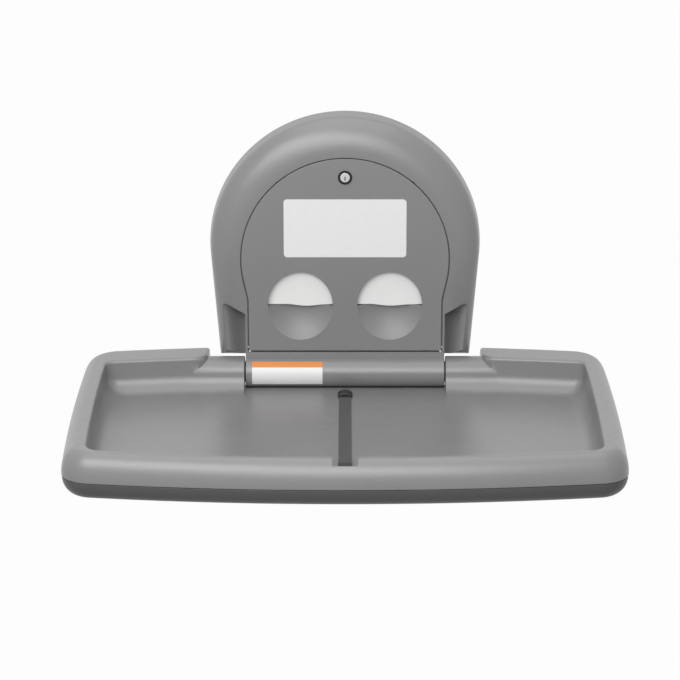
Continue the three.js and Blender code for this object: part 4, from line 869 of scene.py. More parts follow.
def moulded(name, colour, roughness, specular):
    """Moulded plastic with a fine pebbled grain and faint cloudiness"""
    finish = Finish(name)
    grain = finish.noise(scale=1500, detail=2.0, roughness=0.6)
    clouds = finish.noise(scale=9, detail=3.0)
    colour_clouds = finish.blend(clouds, shade(colour, 0.95), shade(colour, 1.05))
    finish.set(
        Base_Color=finish.blend(grain * 0.35, colour_clouds, shade(colour, 1.18)),
        Roughness=grain * 0.14 + clouds * 0.06 + (roughness - 0.1),
        Normal=finish.bump(grain, strength=0.22, distance=0.0005),
        Specular_IOR_Level=specular)
    return finish.material


def speckled(name, low, high, scale, roughness, spread, strength, specular=0.5):
    """Plain surface with one fine noise in its colour, roughness and relief"""
    finish = Finish(name)
    grain = finish.noise(scale)
    finish.set(
        Base_Color=finish.blend(grain, low, high),
        Roughness=grain * spread + roughness,
        Normal=finish.bump(grain, strength, distance=0.0003),
        Specular_IOR_Level=specular)
    return finish.material


def webbing_finish(colour):
    """Flat woven webbing: ribs across and fine yarns along"""
    finish = Finish("webbing")
    ribs = finish.sine(finish.axis("Y") * (2 * math.pi / RIB_PITCH))
    yarns = finish.sine(finish.axis("X") * (2 * math.pi / YARN_PITCH))
    weave = ribs * yarns * 0.5 + 0.5
    fuzz = finish.noise(scale=2600)
    finish.set(
        Base_Color=finish.blend(weave * 0.7 + fuzz * 0.3, shade(colour, 0.62), shade(colour, 1.35)),
        Roughness=0.82,
        Normal=finish.bump(weave + fuzz * 0.4, strength=0.5, distance=0.0004),
        Sheen_Weight=0.12)
    return finish.material


def dark_plastic_finish(colour):
    return speckled("dark_plastic", shade(colour, 0.8), shade(colour, 1.3),
                    scale=1800, roughness=0.34, spread=0.2, strength=0.15)


def paper_finish():
    finish = Finish("liner_paper")
    fibres = finish.noise(scale=900, detail=4.0, roughness=0.7)
    clouds = finish.noise(scale=40, detail=3.0)
    finish.set(
        Base_Color=finish.blend(fibres * 0.5 + clouds * 0.5, (0.88, 0.88, 0.87), (0.94, 0.94, 0.93)),
        Roughness=0.9,
        Normal=finish.bump(fibres, strength=0.2, distance=0.0003))
    return finish.material


def label_finish():
    return speckled("label_vinyl", (0.89, 0.89, 0.89), (0.93, 0.93, 0.93),
                    scale=120, roughness=0.36, spread=0.1, strength=0.03)


def sticker_finish(header):
    """Blank label of two plain colours: a band at the top and white below"""
    finish = Finish("sticker_vinyl")
    band = finish.axis("Z") > ROLL_RADIUS * math.sin(STICKER_BAND)
    clouds = finish.noise(scale=150)
    white = finish.blend(clouds, (0.84, 0.84, 0.83), (0.89, 0.89, 0.88))
    finish.set(
        Base_Color=finish.blend(band, white, finish.blend(clouds, shade(header, 0.94), header)),
        Roughness=clouds * 0.1 + 0.38,
        Normal=finish.bump(clouds, strength=0.03, distance=0.0003))
    return finish.material


def steel_finish():
    """Steel with fine brush marks and a few duller spots"""
    finish = Finish("steel")
    colour = (0.62, 0.63, 0.64)
    stretched = finish.node("ShaderNodeMapping", {"Vector": finish.place(), "Scale": (40, 900, 900)})
    brush = finish.noise(scale=1.0, detail=3.0, vector=stretched)
    spots = finish.noise(scale=60, detail=3.0)
    finish.set(
        Base_Color=finish.blend(spots, shade(colour, 0.86), colour),
        Metallic=1.0,
        Roughness=brush * 0.2 + spots * 0.1 + 0.21,
        Normal=finish.bump(brush, strength=0.12, distance=0.0002))
    return finish.material


def nylon_finish():
    return speckled("white_nylon", (0.78, 0.78, 0.75), (0.86, 0.86, 0.83),
                    scale=700, roughness=0.38, spread=0.15, strength=0.08)


def paint_finish():
    return speckled("black_paint", (0.018, 0.018, 0.019), (0.03, 0.03, 0.031),
                    scale=500, roughness=0.4, spread=0.15, strength=0.12, specular=0.12)


def finish_for(slot):
    """The material of a record slot, or of the door, made once"""
    colours = bpy.context.scene.station_finishes
    shell = tuple(colours.shell)
    base = tuple(colours.base)
    makers = {
        "grey_shell": lambda: moulded("grey_shell", shell, roughness=0.29, specular=0.8),
        "grey_door": lambda: moulded("grey_door", shell, roughness=0.44, specular=0.8),
        "grey_pan": lambda: moulded("grey_pan", base, roughness=0.36, specular=0.25),
        "strap_web": lambda: webbing_finish(tuple(colours.webbing)),
        "dark_plastic": lambda: dark_plastic_finish(tuple(colours.dark)),
        "paper": paper_finish,
        "white_label": label_finish,
        "steel": steel_finish,
        "white_nylon": nylon_finish,
        "black_paint": paint_finish,
    }
    names = {"strap_web": "webbing", "paper": "liner_paper", "white_label": "label_vinyl"}
    made = bpy.data.materials.get(names.get(slot, slot))
    if made is not None and made.get("station"):
        return made
    material = makers[slot]()
    material["station"] = True
    return material


# Bed pieces

def shoulder_plan(end, corner):
    """Plan of the gap between the shoulders, grown by end at the back and by corner in front"""
    behind = -AXIS_TO_BACK_EDGE - CUT
    middle = pocket_back() - SHOULDER_TURN
    half = [(SHOULDER_FRONT - SHOULDER_TURN + end, behind)]
    for i, (c, s) in enumerate(unit_arc(math.pi, QUARTER, TURN_STEPS)):
        radius = SHOULDER_TURN - end + (end - corner) * i / TURN_STEPS
        half.append((SHOULDER_FRONT + radius * c, middle + radius * s))
    half.append((SHOULDER_FRONT, foot_reach() + FOOT_LAP))
    return half + [(-x, t) for x, t in reversed(half)]


def shoulder_gap():
    """Space between the shoulders, with rounded upper edges"""
    top = bed_sizes().rim_height
    levels = [(shoulder_plan(0, 0), -bed_sizes().floor_drop)]
    for _, s in unit_arc(0, QUARTER, TURN_STEPS):
        z = top - SHOULDER_ROUND * (1 - s)
        end = rim_inset(SHOULDER_ROUND, SHOULDER_ROUND, z)
        corner = rim_inset(POCKET_EDGE_ROUND, POCKET_EDGE_ROUND, z)
        levels.append((shoulder_plan(end, corner), z))
    levels.append((shoulder_plan(SHOULDER_ROUND, POCKET_EDGE_ROUND), top + CUT))
    return stack_up(levels)


def notch_plan():
    """Plan of the cut-out for the hinge barrel and the wall body"""
    behind = -2 * AXIS_TO_WALL
    return [(-NOTCH_SIDE, behind), (-NOTCH_SIDE, -ROLL_RADIUS), (-KNUCKLE, -ROLL_RADIUS),
            (-KNUCKLE, NOTCH_FRONT), (KNUCKLE, NOTCH_FRONT), (KNUCKLE, -ROLL_RADIUS),
            (NOTCH_SIDE, -ROLL_RADIUS), (NOTCH_SIDE, behind)]


def hinge_roll():
    """Right-hand roll of the bed with its bore"""
    roll = along_x(roll_profile(ROLL_RADIUS, BORE), KNUCKLE, SHOULDER_FRONT + ROLL_LAP)
    soften(roll, KNUCKLE_ROUND, lambda edge: all(v.co.x < KNUCKLE + NEAR for v in edge.verts))
    return cut(roll, rod_across(BORE, KNUCKLE - CUT, NOTCH_SIDE))


def build_bed_shell():
    bed = bed_sizes()
    floor = -bed.floor_drop
    top = bed.rim_height + CUT
    rim = stack_up([(bed_outline(inset, back_inset), z) for inset, back_inset, z in rim_nose()])
    wall = pocket_wall()
    tub = stack_up([(pocket_outline(inset - SKIN), z - SKIN) for inset, z in reversed(wall)])
    pocket = stack_up([(pocket_outline(inset), z) for inset, z in reversed(pocket_edge() + wall)]
                      + [(pocket_outline(-POCKET_EDGE_ROUND), top)])
    shell = cut(cut(join(rim, tub), pocket), shoulder_gap())
    strip = bed.width / 2 - bed.side_rim - POCKET_DRAFT - SKIN
    shell = join(shell, box(-strip, strip, NOTCH_FRONT, foot_reach() + STRIP_LAP, floor - SKIN, floor))
    shell = cut(shell, along_z(notch_plan(), UNDERSIDE, floor))
    shell = join(shell, both_sides(hinge_roll()))
    outer = CATCH_HALF + SKIN
    shell = join(shell, box(-outer, outer, HOUSING_BACK, CATCH_FRONT + SKIN, floor - SKIN, 0))
    well = box(-CATCH_HALF, CATCH_HALF, CATCH_BACK, CATCH_FRONT, floor, top)
    lip = box(-CATCH_HALF, CATCH_HALF, CATCH_BACK, CATCH_LIP_FRONT, CATCH_LIP_FLOOR, top)
    shell = cut(shell, join(well, lip))
    half = bed.strap_width / 2 + STRAP_SIDE_GAP
    slot_back = STRAP_SLOT - SLOT_BEHIND
    slot_front = STRAP_SLOT + SLOT_AHEAD
    shell = cut(shell, box(-half, half, slot_back, slot_front, UNDERSIDE, floor + SLOT_RISE))
    return finish_piece("bed_shell", tidy_faces(shell), "bed", "grey_shell", ["bed_top"])


def base_notch(grow):
    """Space in the base for the wall body and for the hinge barrel, grown by grow"""
    inner = KNUCKLE + grow
    outer = NOTCH_SIDE + grow
    low = UNDERSIDE - CUT
    behind = -2 * AXIS_TO_WALL
    sides = box(-outer, outer, behind, -ROLL_RADIUS + grow, low, CUT)
    middle = box(-inner, inner, behind, -TROUGH_BACK + grow, low, CUT)
    trough = rod_across(NOTCH_SWING + grow, -inner, inner, segments=TROUGH_STEPS)
    return join(join(sides, middle), trough)


def screw_pockets():
    """Pockets for the heads of the screws from below"""
    low = UNDERSIDE - CUT
    high = UNDERSIDE + SCREW_POCKET_DEPTH
    return merged(*[rod(SCREW_POCKET, place(x * side, t, low), place(x * side, t, high), SMALL_ROD_STEPS)
                    for x, t in SCREW_PLACES for side in (1, -1)])


def build_bed_base():
    floor = -bed_sizes().floor_drop
    edge = pan_nose()
    base = cut(stack_up([(bed_outline(inset), z) for inset, z in reversed(edge)]), base_notch(0))
    hollow = stack_up([(bed_outline(inset + SKIN), z + SKIN) for inset, z in reversed(edge)])
    base = cut(base, cut(hollow, base_notch(SKIN)))
    beside = KNUCKLE + SKIN + BASE_PLAY
    front = NOTCH_SWING + SKIN + BASE_PLAY
    base = cut(base, box(-beside, beside, -NOTCH_SWING, front, floor - SKIN - SEAM_GAP, 0))
    roll_space = along_x(roll_profile(ROLL_RADIUS + SEAM_GAP, BORE / 2), KNUCKLE - BASE_PLAY, beside)
    base = cut(base, both_sides(roll_space))
    base = cut(base, screw_pockets())
    return finish_piece("bed_base", tidy_faces(base), "bed", "grey_pan", ["bed_pan"])


def strap_line():
    """Middle line of the strap: under the floor, up through the slot, forward, round the bar and back"""
    bend = (LOW_RUN - UNDER_RUN) / 2
    middle = (LOW_RUN + UNDER_RUN) / 2
    return ([(STRAP_SLOT + STRAP_TUCK, UNDER_RUN)]
            + arc(STRAP_SLOT + bend, middle, bend, -QUARTER, -3 * QUARTER, STRAP_STEPS)
            + [(RAMP_FOOT, LOW_RUN), (RAMP_TOP, HIGH_RUN), (BAR_APPROACH, HIGH_RUN)]
            + arc(BAR_T, BAR_Z, BAR_WRAP, -QUARTER, QUARTER, TURN_STEPS)
            + [(BAR_APPROACH, TAIL_RUN), (TAIL_END, TAIL_RUN)])


def build_strap():
    bed = bed_sizes()
    line = strap_line()
    sides = {1: [], -1: []}
    for i, (t, z) in enumerate(line):
        before = Vector(line[max(i - 1, 0)])
        after = Vector(line[min(i + 1, len(line) - 1)])
        ahead = (after - before).normalized()
        for side, points in sides.items():
            off = side * bed.strap_thickness / 2
            points.append((t - off * ahead.y, z + off * ahead.x))
    half = bed.strap_width / 2
    strap = along_x(sides[1] + sides[-1][::-1], -half, half)
    soften(strap, bed.strap_thickness * STRAP_EDGE_SHARE, keeps_x, segments=FINE_SEGMENTS)
    band = finish_piece("strap_band", strap, "bed", "strap_web", ["strap"])
    return band


def build_hood():
    floor = -bed_sizes().floor_drop
    arch = [(c * HOOD_HALF, floor + SEAM_GAP + s * HOOD_HEIGHT)
            for c, s in unit_arc(0, math.pi, HOOD_STEPS)]
    hood = along_y(arch, HOOD_BACK, HOOD_FRONT)

    def is_upper_edge(edge):
        return is_sharp(edge) and sum(v.co.z for v in edge.verts) / 2 > floor + HOOD_FOOT

    soften(hood, HOOD_ROUND, is_upper_edge)
    half = HOOD_MOUTH_HALF
    mouth = box(-half, half, STRAP_SLOT - SLOT_BEHIND, HOOD_FRONT + CUT, floor - CUT, floor + HOOD_MOUTH)
    return finish_piece("hood", tidy_faces(cut(hood, mouth)), "bed", "dark_plastic", ["strap_hood"])


def build_washers():
    """Washers between the hinge barrel and the rolls, in dark plastic as painted shade in the gaps beside
    the barrel
    """
    for side, name in ((-1, "left"), (1, "right")):
        inner = side * (COLUMN_HALF + WASHER_FIT)
        outer = side * (KNUCKLE - WASHER_FIT)
        bore = rod_across(BORE, side * COLUMN_HALF, side * KNUCKLE)
        washer = cut(rod_across(WASHER_RADIUS, inner, outer, segments=FINE_ROD_STEPS), bore)
        # Dark plastic on the washers is painted shade: it keeps the gap between barrel and roll dark
        finish_piece("washer_" + name, washer, "bed", "dark_plastic", ["thrust_washer_" + name])


# Wall body pieces

def recess_plan(edge, run_out, deep, grow):
    """Plan of the space before a flank: it runs out on the ring's round and is deepest beside the column"""
    face = body_sizes().face
    inset = (edge - RING_DRAFT - run_out) / RING_ROUND
    start = face - RING_DEPTH * (1 - math.sqrt(1 - (1 - inset) ** 2))
    curve = []
    for i in range(TURN_STEPS + 1):
        share = i / TURN_STEPS
        fall = math.sin(share * QUARTER) ** 2
        curve.append((run_out + (COLUMN_HALF - run_out) * share, start + (deep - start) * fall - grow))
    outer = run_out + grow
    inner = COLUMN_HALF - grow
    curve[0] = (outer, start - grow)
    curve[-1] = (inner, deep - grow)
    return [(inner, face + CUT), (outer, face + CUT)] + curve


def flank_recesses(grow, rounding):
    body = body_sizes()
    low = body.bottom - CUT
    head_edge = flank_edge(RECESS_TOP)
    head_plan = recess_plan(head_edge, head_edge - RECESS_HEAD_EDGE, RECESS_HEAD_FLOOR, grow)
    foot_plan = recess_plan(flank_edge(low), COLUMN_HALF + RECESS_FOOT_WIDTH, RECESS_FOOT_FLOOR, grow)
    head = [place(x, t, RECESS_TOP + grow + (x - COLUMN_HALF) * RECESS_SLOPE) for x, t in head_plan]
    foot = [place(x, t, low) for x, t in foot_plan]
    recess = loft([foot, head])

    def is_roof_back(edge):
        behind = min(v.co.y for v in edge.verts) > -AXIS_TO_WALL - body.face
        return not keeps_x(edge) and behind and min(v.co.z for v in edge.verts) > RECESS_TOP - CUT

    if rounding:
        soften(recess, rounding, is_roof_back, RECESS_SEGMENTS)
    return both_sides(recess)


def body_shell():
    body = body_sizes()
    nose = ring_nose()
    ring = stack_forward([(body_outline(inset), t) for inset, t in nose])
    ring = cut(ring, flank_recesses(0, RECESS_ROUND))
    hollow = stack_forward([(body_outline(SKIN), -AXIS_TO_WALL - CUT)]
                           + [(body_outline(inset + SKIN), t - SKIN) for inset, t in nose[1:]])
    hollow = cut(hollow, flank_recesses(SKIN, 0))
    column = along_x(column_profile(0), -COLUMN_HALF, COLUMN_HALF)

    def is_column_end(edge):
        return is_sharp(edge) and keeps_x(edge) and max(v.co.y for v in edge.verts) < -CUT

    soften(column, COLUMN_ROUND, is_column_end)
    column_hollow = along_x(column_profile(SKIN), -COLUMN_HALF + SKIN, COLUMN_HALF - SKIN)
    shell = cut(cut(join(ring, column), hollow), column_hollow)
    shell = join(shell, along_y(door_outline(DOOR_FRAME, DOOR_FOOT), LEDGE_BACK, body.face))
    return cut(shell, along_y(door_outline(-DOOR_LEDGE, DOOR_FOOT), LEDGE_BACK - CUT, body.face + CUT))


def post_rods(radius, t0, t1, segments):
    """Rods at the places of the four posts"""
    return both_sides(merged(*[rod_forward(radius, x, z, t0, t1, segments) for x, z in POST_PLACES]))


def pivot_rod(radius, x0, x1, segments=ROD_STEPS):
    return rod_across(radius, x0, x1, PIVOT_T, PIVOT_Z, segments)


def build_wall_shell():
    face = body_sizes().face
    shell = join(body_shell(), post_rods(POST_RADIUS, -AXIS_TO_WALL + POST_FOOT, LEDGE_FRONT, POST_STEPS))
    gap = door_outline(DOOR_GAP, DOOR_FOOT)
    shell = cut(shell, along_y(gap, LEDGE_FRONT, face + CUT))
    groove = along_y(gap, LEDGE_FRONT - DOOR_GROOVE, LEDGE_FRONT + DOOR_GAP)
    groove = cut(groove, along_y(door_outline(0, DOOR_FOOT - CUT), LEDGE_BACK, face))
    shell = cut(shell, groove)
    shell = cut(shell, post_rods(POST_HOLE, -AXIS_TO_WALL, face, HOLE_STEPS))
    shell = cut(shell, post_rods(SCREW_SEAT_RADIUS, SCREW_SEAT, face, POST_STEPS))
    lug_space = pivot_rod(LUG_SWING, LUG_INNER - LUG_INNER_GAP, LUG_OUTER + LUG_OUTER_GAP)
    lug_space = keep_inside(lug_space, box(0, FAR, -AXIS_TO_WALL, FAR, DOOR_FOOT, LOCK_Z))
    shell = cut(shell, both_sides(lug_space))
    pin_hole = pivot_rod(PIVOT_HOLE, LUG_OUTER, COLUMN_HALF - PIN_WALL, SMALL_ROD_STEPS)
    shell = cut(shell, both_sides(pin_hole))
    shell = cut(shell, rod_across(BORE, -COLUMN_HALF - CUT, COLUMN_HALF + CUT))
    return finish_piece("wall_shell", tidy_faces(shell), "wall_unit", "grey_shell", ["wall_body"])


def scoop_ball(grow):
    """Dish whose rim on the door face is the round of the window"""
    mean = (WINDOW_HALF_WIDTH + WINDOW_HALF_HEIGHT) / 2
    radius = (mean ** 2 + SCOOP_DEPTH ** 2) / (2 * SCOOP_DEPTH)
    ball = bmesh.new()
    bmesh.ops.create_uvsphere(ball, u_segments=BALL_STEPS, v_segments=BALL_STEPS, radius=radius + grow)
    bmesh.ops.rotate(ball, verts=ball.verts, cent=(0, 0, 0), matrix=Matrix.Rotation(QUARTER, 3, "X"))
    bmesh.ops.scale(ball, vec=(WINDOW_HALF_WIDTH / mean, 1, WINDOW_HALF_HEIGHT / mean), verts=ball.verts)
    centre = place(WINDOW_X, body_sizes().face + radius - SCOOP_DEPTH, WINDOW_Z)
    bmesh.ops.translate(ball, verts=ball.verts, vec=centre)
    return ball


def scoops(grow, front):
    """Lower halves of the two dishes, cut off at t in front"""
    space = box(0, SCOOP_REACH, -AXIS_TO_WALL, front, SCOOP_FOOT, WINDOW_Z)
    return both_sides(keep_inside(scoop_ball(grow), space))


def is_window_edge(edge):
    beside = WINDOW_HALF_WIDTH + WINDOW_MARGIN
    above = WINDOW_Z + WINDOW_HALF_HEIGHT + WINDOW_MARGIN
    in_front = lies_at(body_sizes().face)
    return is_sharp(edge) and in_front(edge) and all(
        abs(abs(v.co.x) - WINDOW_X) < beside and v.co.z < above for v in edge.verts)


def build_door():
    face = body_sizes().face
    back = face - DOOR_THICKNESS
    door = along_y(door_outline(0, DOOR_BOTTOM), back, face)
    soften(door, DOOR_ROUND, lies_at(face))
    door = join(door, scoops(SCOOP_WALL, face - SCOOP_LAP))
    lug_foot = DOOR_BOTTOM + LUG_LAP
    lug = box(LUG_INNER, LUG_OUTER, PIVOT_T - LUG_BACK, back + LUG_LAP, lug_foot, PIVOT_Z + LUG_HALF)
    door = join(door, both_sides(lug))
    door = cut(door, scoops(0, face + CUT))
    arch = [(WINDOW_X + WINDOW_HALF_WIDTH * c, WINDOW_Z + WINDOW_HALF_HEIGHT * s)
            for c, s in unit_arc(0, math.pi, WINDOW_STEPS)]
    door = cut(door, both_sides(along_y(arch, back - CUT, face + CUT)))
    door = soften(tidy_faces(door), DOOR_ROUND, is_window_edge)
    door = cut(door, along_y(label_outline(DOOR_FIT), face - LABEL_RECESS, face + CUT))
    door = cut(door, rod_forward(LOCK_BARREL + DOOR_FIT, 0, LOCK_Z, back - CUT, face + CUT))
    pin_hole = pivot_rod(PIVOT_HOLE, LUG_INNER - CUT, LUG_OUTER + CUT, SMALL_ROD_STEPS)
    door = cut(door, both_sides(pin_hole))
    grey = finish_for("grey_door")
    return finish_piece("door_panel", tidy_faces(door), "door", "grey_shell", ["dispenser_door"], grey)


def build_labels():
    face = body_sizes().face
    plate = along_y(label_outline(0), face - LABEL_RECESS + GLUE_GAP, face + LABEL_PROUD)
    soften(plate, LABEL_ROUND, lies_at(face + LABEL_PROUD), segments=FINE_SEGMENTS)
    finish_piece("door_panel_label", plate, "door", "white_label", ["door_label"])
    under = ROLL_RADIUS + GLUE_GAP
    band = (arc(0, 0, under + STICKER_THICK, STICKER_FOOT, STICKER_TOP, BARREL_STEPS)
            + arc(0, 0, under, STICKER_TOP, STICKER_FOOT, BARREL_STEPS))
    sticker = along_x(band, STICKER_LEFT, STICKER_RIGHT)
    vinyl = sticker_finish(tuple(bpy.context.scene.station_finishes.header))
    finish_piece("barrel_sticker", sticker, "wall_unit", "white_label", ["barrel_label"], vinyl)


def lock_rod(radius, t0, t1):
    return rod_forward(radius, 0, LOCK_Z, t0, t1, FINE_ROD_STEPS)


def round_lock_face(bm, t):
    in_front = lies_at(t)
    return soften(bm, LOCK_ROUND, lambda edge: is_sharp(edge) and in_front(edge))


def keyway_box(inset, back, front):
    return box(-KEYWAY_HALF + inset, KEYWAY_HALF - inset, back, front,
               LOCK_Z - KEYWAY_LOW + inset, LOCK_Z + KEYWAY_HIGH - inset)


def build_lock():
    """Dark ring with the steel plug and its keyway in it, and black wafers just inside the keyway as
    painted shade
    """
    face = body_sizes().face
    back = face - LOCK_BACK
    flange = lock_rod(LOCK_RADIUS, face + PLUG_FIT / 2, face + LOCK_PROUD)
    ring = join(flange, lock_rod(LOCK_BARREL, back, face + LOCK_PROUD / 2))
    ring = cut(ring, lock_rod(PLUG_RADIUS + PLUG_FIT, back - CUT, face + CUT))
    ring = round_lock_face(tidy_faces(ring), face + LOCK_PROUD)
    finish_piece("lock_ring", ring, "door", "black_paint", ["lock_housing"])
    plug = round_lock_face(lock_rod(PLUG_RADIUS, back, face + PLUG_PROUD), face + PLUG_PROUD)
    plug = cut(plug, keyway_box(0, face - KEYWAY_DEPTH, face + CUT))
    plug = join(plug, lock_rod(CAM_STUB, back - CAM_STUB_LENGTH, back + CAM_STUB_ROOT))
    finish_piece("lock_face", tidy_faces(plug), "lock_core", "steel", ["lock_plug"])
    # Black paint on the wafers is painted shade: it keeps the keyway dark
    shaded_wafers = keyway_box(SHADED_WAFER_FIT, face - KEYWAY_DEPTH + SHADED_WAFER_FIT, face + PLUG_PROUD - SHADED_WAFER_DEPTH)
    finish_piece("lock_wafers", shaded_wafers, "lock_core", "black_paint", [])


def sag(x, middle):
    """Share of the droop at x, which fades out at both ends of the sag"""
    away = min(abs(x - middle) / SAG_HALF_WIDTH, 1)
    return (1 - away ** 2) ** 2


def liner_pack(turn, sag_middle):
    """Folded sheets with slightly wavy feet, the front one with a sag"""
    thickness = (LINER_FRONT - LINER_BACK) / LINER_SHEETS
    sheets = []
    for i in range(LINER_SHEETS):
        front = LINER_FRONT - thickness * i
        foot = []
        for k in range(FOOT_STEPS + 1):
            share = k / FOOT_STEPS
            x = LINER_LEFT + (LINER_RIGHT - LINER_LEFT) * share
            wave = LINER_WAVE * (1 + math.sin(2 * math.pi * LINER_WAVES * share + turn + SHEET_TURN * i))
            droop = LINER_DROOP * sag(x, sag_middle) if i == 0 else 0
            foot.append((x, LINER_FOOT + wave - droop))
        outline = foot + [(LINER_RIGHT, LINER_TOP), (LINER_LEFT, LINER_TOP)]
        sheets.append(along_y(outline, front - thickness + SHEET_GAP, front))
    return merged(*sheets)


def build_liners():
    right = liner_pack(RIGHT_TURN, WINDOW_X)
    finish_piece("liners_right", right, "wall_unit", "paper", ["liner_pack_right"])
    left = mirrored(liner_pack(LEFT_TURN, WINDOW_X - SAG_SHIFT))
    finish_piece("liners_left", left, "wall_unit", "paper", ["liner_pack_left"])


def build_small_parts():
    """Copies of small CAD pieces with softened edges"""
    for node, (slot, rounding) in SMALL_PARTS.items():
        source = frame["nodes"][node]
        copy = bmesh.new()
        copy.from_mesh(source.data)
        copy.transform(source.matrix_world)
        soften(tidy_faces(copy), rounding, is_sharp, segments=FINE_SEGMENTS)
        finish_piece(node + "_part", copy, body_of(source)[0], slot, [node])


def dress_hardware():
    """Gives every CAD node that still shows the finish of its slot"""
    replaced = {node for obj in bpy.data.objects for node in obj.get("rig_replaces", [])}
    for subpart in frame["record"]["subparts"]:
        node = subpart["node"]
        if node in replaced:
            continue
        obj = frame["nodes"][node]
        obj.data.materials.clear()
        obj.data.materials.append(finish_for(subpart["material_slot"]))


# Stage

def build_stage_pieces():
    settings = bpy.context.scene.station_stage
    bm = bmesh.new()
    bmesh.ops.create_grid(bm, x_segments=1, y_segments=1, size=FLOOR_SIZE)
    bmesh.ops.translate(bm, verts=bm.verts, vec=(0, 0, settings.floor_height))
    mesh = bpy.data.meshes.new("floor")
    bm.to_mesh(mesh)
    bm.free()
    floor = bpy.data.objects.new("floor", mesh)
    bpy.context.scene.collection.objects.link(floor)
    mesh.materials.append(floor_finish())
    build_world(settings.ambient)
    for name, (where, size) in LAMPS.items():
        build_lamp(name + "_light", where, size, getattr(settings, name + "_power"))


def seen_directly(tree):
    """Socket that is 1 for the camera, for reflections and through clear pieces"""
    rays = tree.nodes.new("ShaderNodeLightPath").outputs
    seen = rays["Is Camera Ray"]
    for name in ("Is Glossy Ray", "Is Transmission Ray"):
        either = tree.nodes.new("ShaderNodeMath")
        either.operation = "MAXIMUM"
        tree.links.new(seen, either.inputs[0])
        tree.links.new(rays[name], either.inputs[1])
        seen = either.outputs[0]
    return seen


def floor_finish():
    """Pale floor that looks white and still takes the object's shadow"""
    finish = Finish("pale_floor")
    finish.set(Base_Color=(FLOOR_GREY, FLOOR_GREY, FLOOR_GREY), Roughness=0.95)
    seen = Wire(finish, seen_directly(finish.tree))
    white = finish.node("ShaderNodeEmission", {"Color": (1.0, 1.0, 1.0), "Strength": 1.0})
    grey = Wire(finish, finish.shader.outputs[0])
    mix = finish.node("ShaderNodeMixShader", {0: seen * FLOOR_WHITE, 1: grey, 2: white})
    finish.feed(finish.tree.nodes["Material Output"].inputs["Surface"], mix)
    return finish.material


def build_world(ambient):
    world = bpy.data.worlds.new("white_room")
    bpy.context.scene.world = world
    world.use_nodes = True
    tree = world.node_tree
    background = tree.nodes["Background"]
    background.inputs["Color"].default_value = (1.0, 1.0, 1.0, 1.0)
    strength = tree.nodes.new("ShaderNodeMapRange")
    tree.links.new(seen_directly(tree), strength.inputs["Value"])
    strength.inputs["To Min"].default_value = ambient
    strength.inputs["To Max"].default_value = 1.0
    tree.links.new(strength.outputs["Result"], background.inputs["Strength"])


def build_lamp(name, where, size, power):
    """Square soft light that faces the middle of the object"""
    light = bpy.data.lights.new(name, "AREA")
    light.shape = "SQUARE"
    light.size = size
    light.energy = power
    lamp = bpy.data.objects.new(name, light)
    lamp.location = where
    lamp.rotation_euler = (LIGHT_TARGET - Vector(where)).to_track_quat("-Z", "Y").to_euler()
    bpy.context.scene.collection.objects.link(lamp)


def build_camera():
    data = bpy.data.cameras.new("camera")
    data.sensor_width = CAMERA_SENSOR
    data.lens = CAMERA_LENS
    data.shift_x = CAMERA_SHIFT
    data.dof.use_dof = False
    camera = bpy.data.objects.new("camera", data)
    camera.location = CAMERA_PLACE
    camera.rotation_euler = (QUARTER - CAMERA_TILT, 0, 0)
    bpy.context.scene.collection.objects.link(camera)
    bpy.context.scene.camera = camera
    bpy.context.scene.view_settings.view_transform = "Standard"


# Operators

class BuildBedShells(bpy.types.Operator):
    """Builds the upper and lower shells of the bed"""

    bl_idname = "station.bed_shells"
    bl_label = "Bed shells"

    def execute(self, context):
        build_bed_shell()
        build_bed_base()
        return {"FINISHED"}


class BuildStrap(bpy.types.Operator):
    """Builds the webbing strap and its hood"""

    bl_idname = "station.strap"
    bl_label = "Strap and hood"

    def execute(self, context):
        build_strap()
        build_hood()
        return {"FINISHED"}


class BuildWashers(bpy.types.Operator):
    """Builds the washers of the hinge"""

    bl_idname = "station.washers"
    bl_label = "Washers"

    def execute(self, context):
        build_washers()
        return {"FINISHED"}


class BuildWallShell(bpy.types.Operator):
    """Builds the arched wall body"""

    bl_idname = "station.wall_shell"
    bl_label = "Wall body"

    def execute(self, context):
        build_wall_shell()
        return {"FINISHED"}


class BuildDoor(bpy.types.Operator):
    """Builds the dispenser door"""

    bl_idname = "station.door"
    bl_label = "Door"

    def execute(self, context):
        build_door()
        return {"FINISHED"}


class BuildLock(bpy.types.Operator):
    """Builds the lock's ring and plug"""

    bl_idname = "station.lock"
    bl_label = "Lock"

    def execute(self, context):
        build_lock()
        return {"FINISHED"}


class BuildLabels(bpy.types.Operator):
    """Builds the two blank labels"""

    bl_idname = "station.labels"
    bl_label = "Labels"

    def execute(self, context):
        build_labels()
        return {"FINISHED"}


class BuildLiners(bpy.types.Operator):
    """Builds the folded paper liners"""

    bl_idname = "station.liners"
    bl_label = "Liners"

    def execute(self, context):
        build_liners()
        return {"FINISHED"}


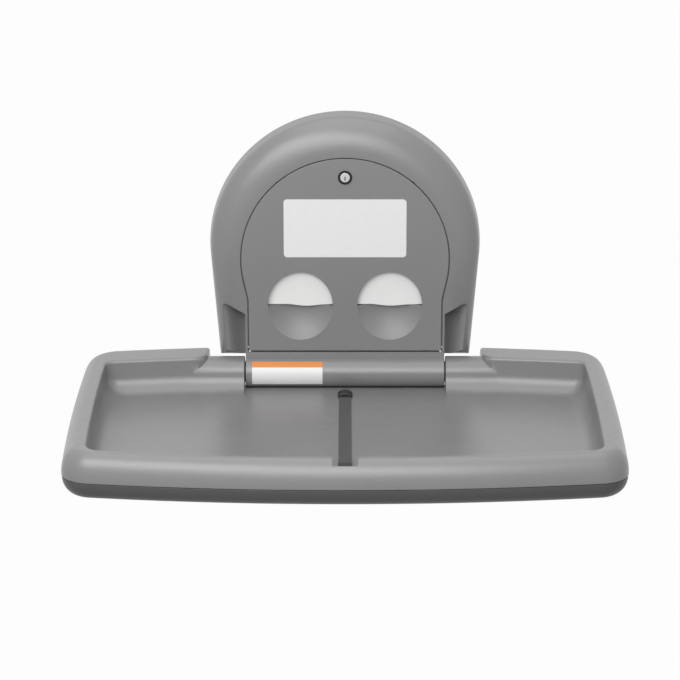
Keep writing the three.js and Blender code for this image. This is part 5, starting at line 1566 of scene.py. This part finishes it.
class BuildSmallParts(bpy.types.Operator):
    """Builds the small pieces that show"""

    bl_idname = "station.small_parts"
    bl_label = "Small parts"

    def execute(self, context):
        build_small_parts()
        return {"FINISHED"}


class DressHardware(bpy.types.Operator):
    """Finishes the pieces that keep their CAD shape"""

    bl_idname = "station.hardware"
    bl_label = "Hardware"

    def execute(self, context):
        dress_hardware()
        return {"FINISHED"}


class BuildStage(bpy.types.Operator):
    """Builds the floor, the light and the camera"""

    bl_idname = "station.stage"
    bl_label = "Stage"

    def execute(self, context):
        build_stage_pieces()
        build_camera()
        return {"FINISHED"}


STEPS = (BuildStage, BuildBedShells, BuildStrap, BuildWashers, BuildWallShell, BuildDoor, BuildLock,
         BuildLabels, BuildLiners, BuildSmallParts, DressHardware)


class StationPanel(bpy.types.Panel):
    """Lists the sizes, the colours and the building steps"""

    bl_idname = "VIEW3D_PT_station"
    bl_label = "Changing station"
    bl_space_type = "VIEW_3D"
    bl_region_type = "UI"
    bl_category = "Changing station"

    def draw(self, context):
        for group in (context.scene.station_bed, context.scene.station_body,
                      context.scene.station_finishes, context.scene.station_stage):
            for name in group.__annotations__:
                self.layout.prop(group, name)
        for step in STEPS:
            self.layout.operator(step.bl_idname)


GROUPS = {
    "station_bed": BedSizes,
    "station_body": BodySizes,
    "station_finishes": FinishColours,
    "station_stage": StageSettings,
}


def register():
    for name, group in GROUPS.items():
        bpy.utils.register_class(group)
        setattr(bpy.types.Scene, name, PointerProperty(type=group))
    for step in STEPS:
        bpy.utils.register_class(step)
    bpy.utils.register_class(StationPanel)


def unregister():
    bpy.utils.unregister_class(StationPanel)
    for step in reversed(STEPS):
        bpy.utils.unregister_class(step)
    for name, group in GROUPS.items():
        delattr(bpy.types.Scene, name)
        bpy.utils.unregister_class(group)


def main():
    register()
    bpy.ops.station.stage()
    bpy.ops.station.bed_shells()
    bpy.ops.station.strap()
    bpy.ops.station.washers()
    bpy.ops.station.wall_shell()
    bpy.ops.station.door()
    bpy.ops.station.lock()
    bpy.ops.station.labels()
    bpy.ops.station.liners()
    bpy.ops.station.small_parts()
    bpy.ops.station.hardware()


if __name__ == "__main__":
    main()
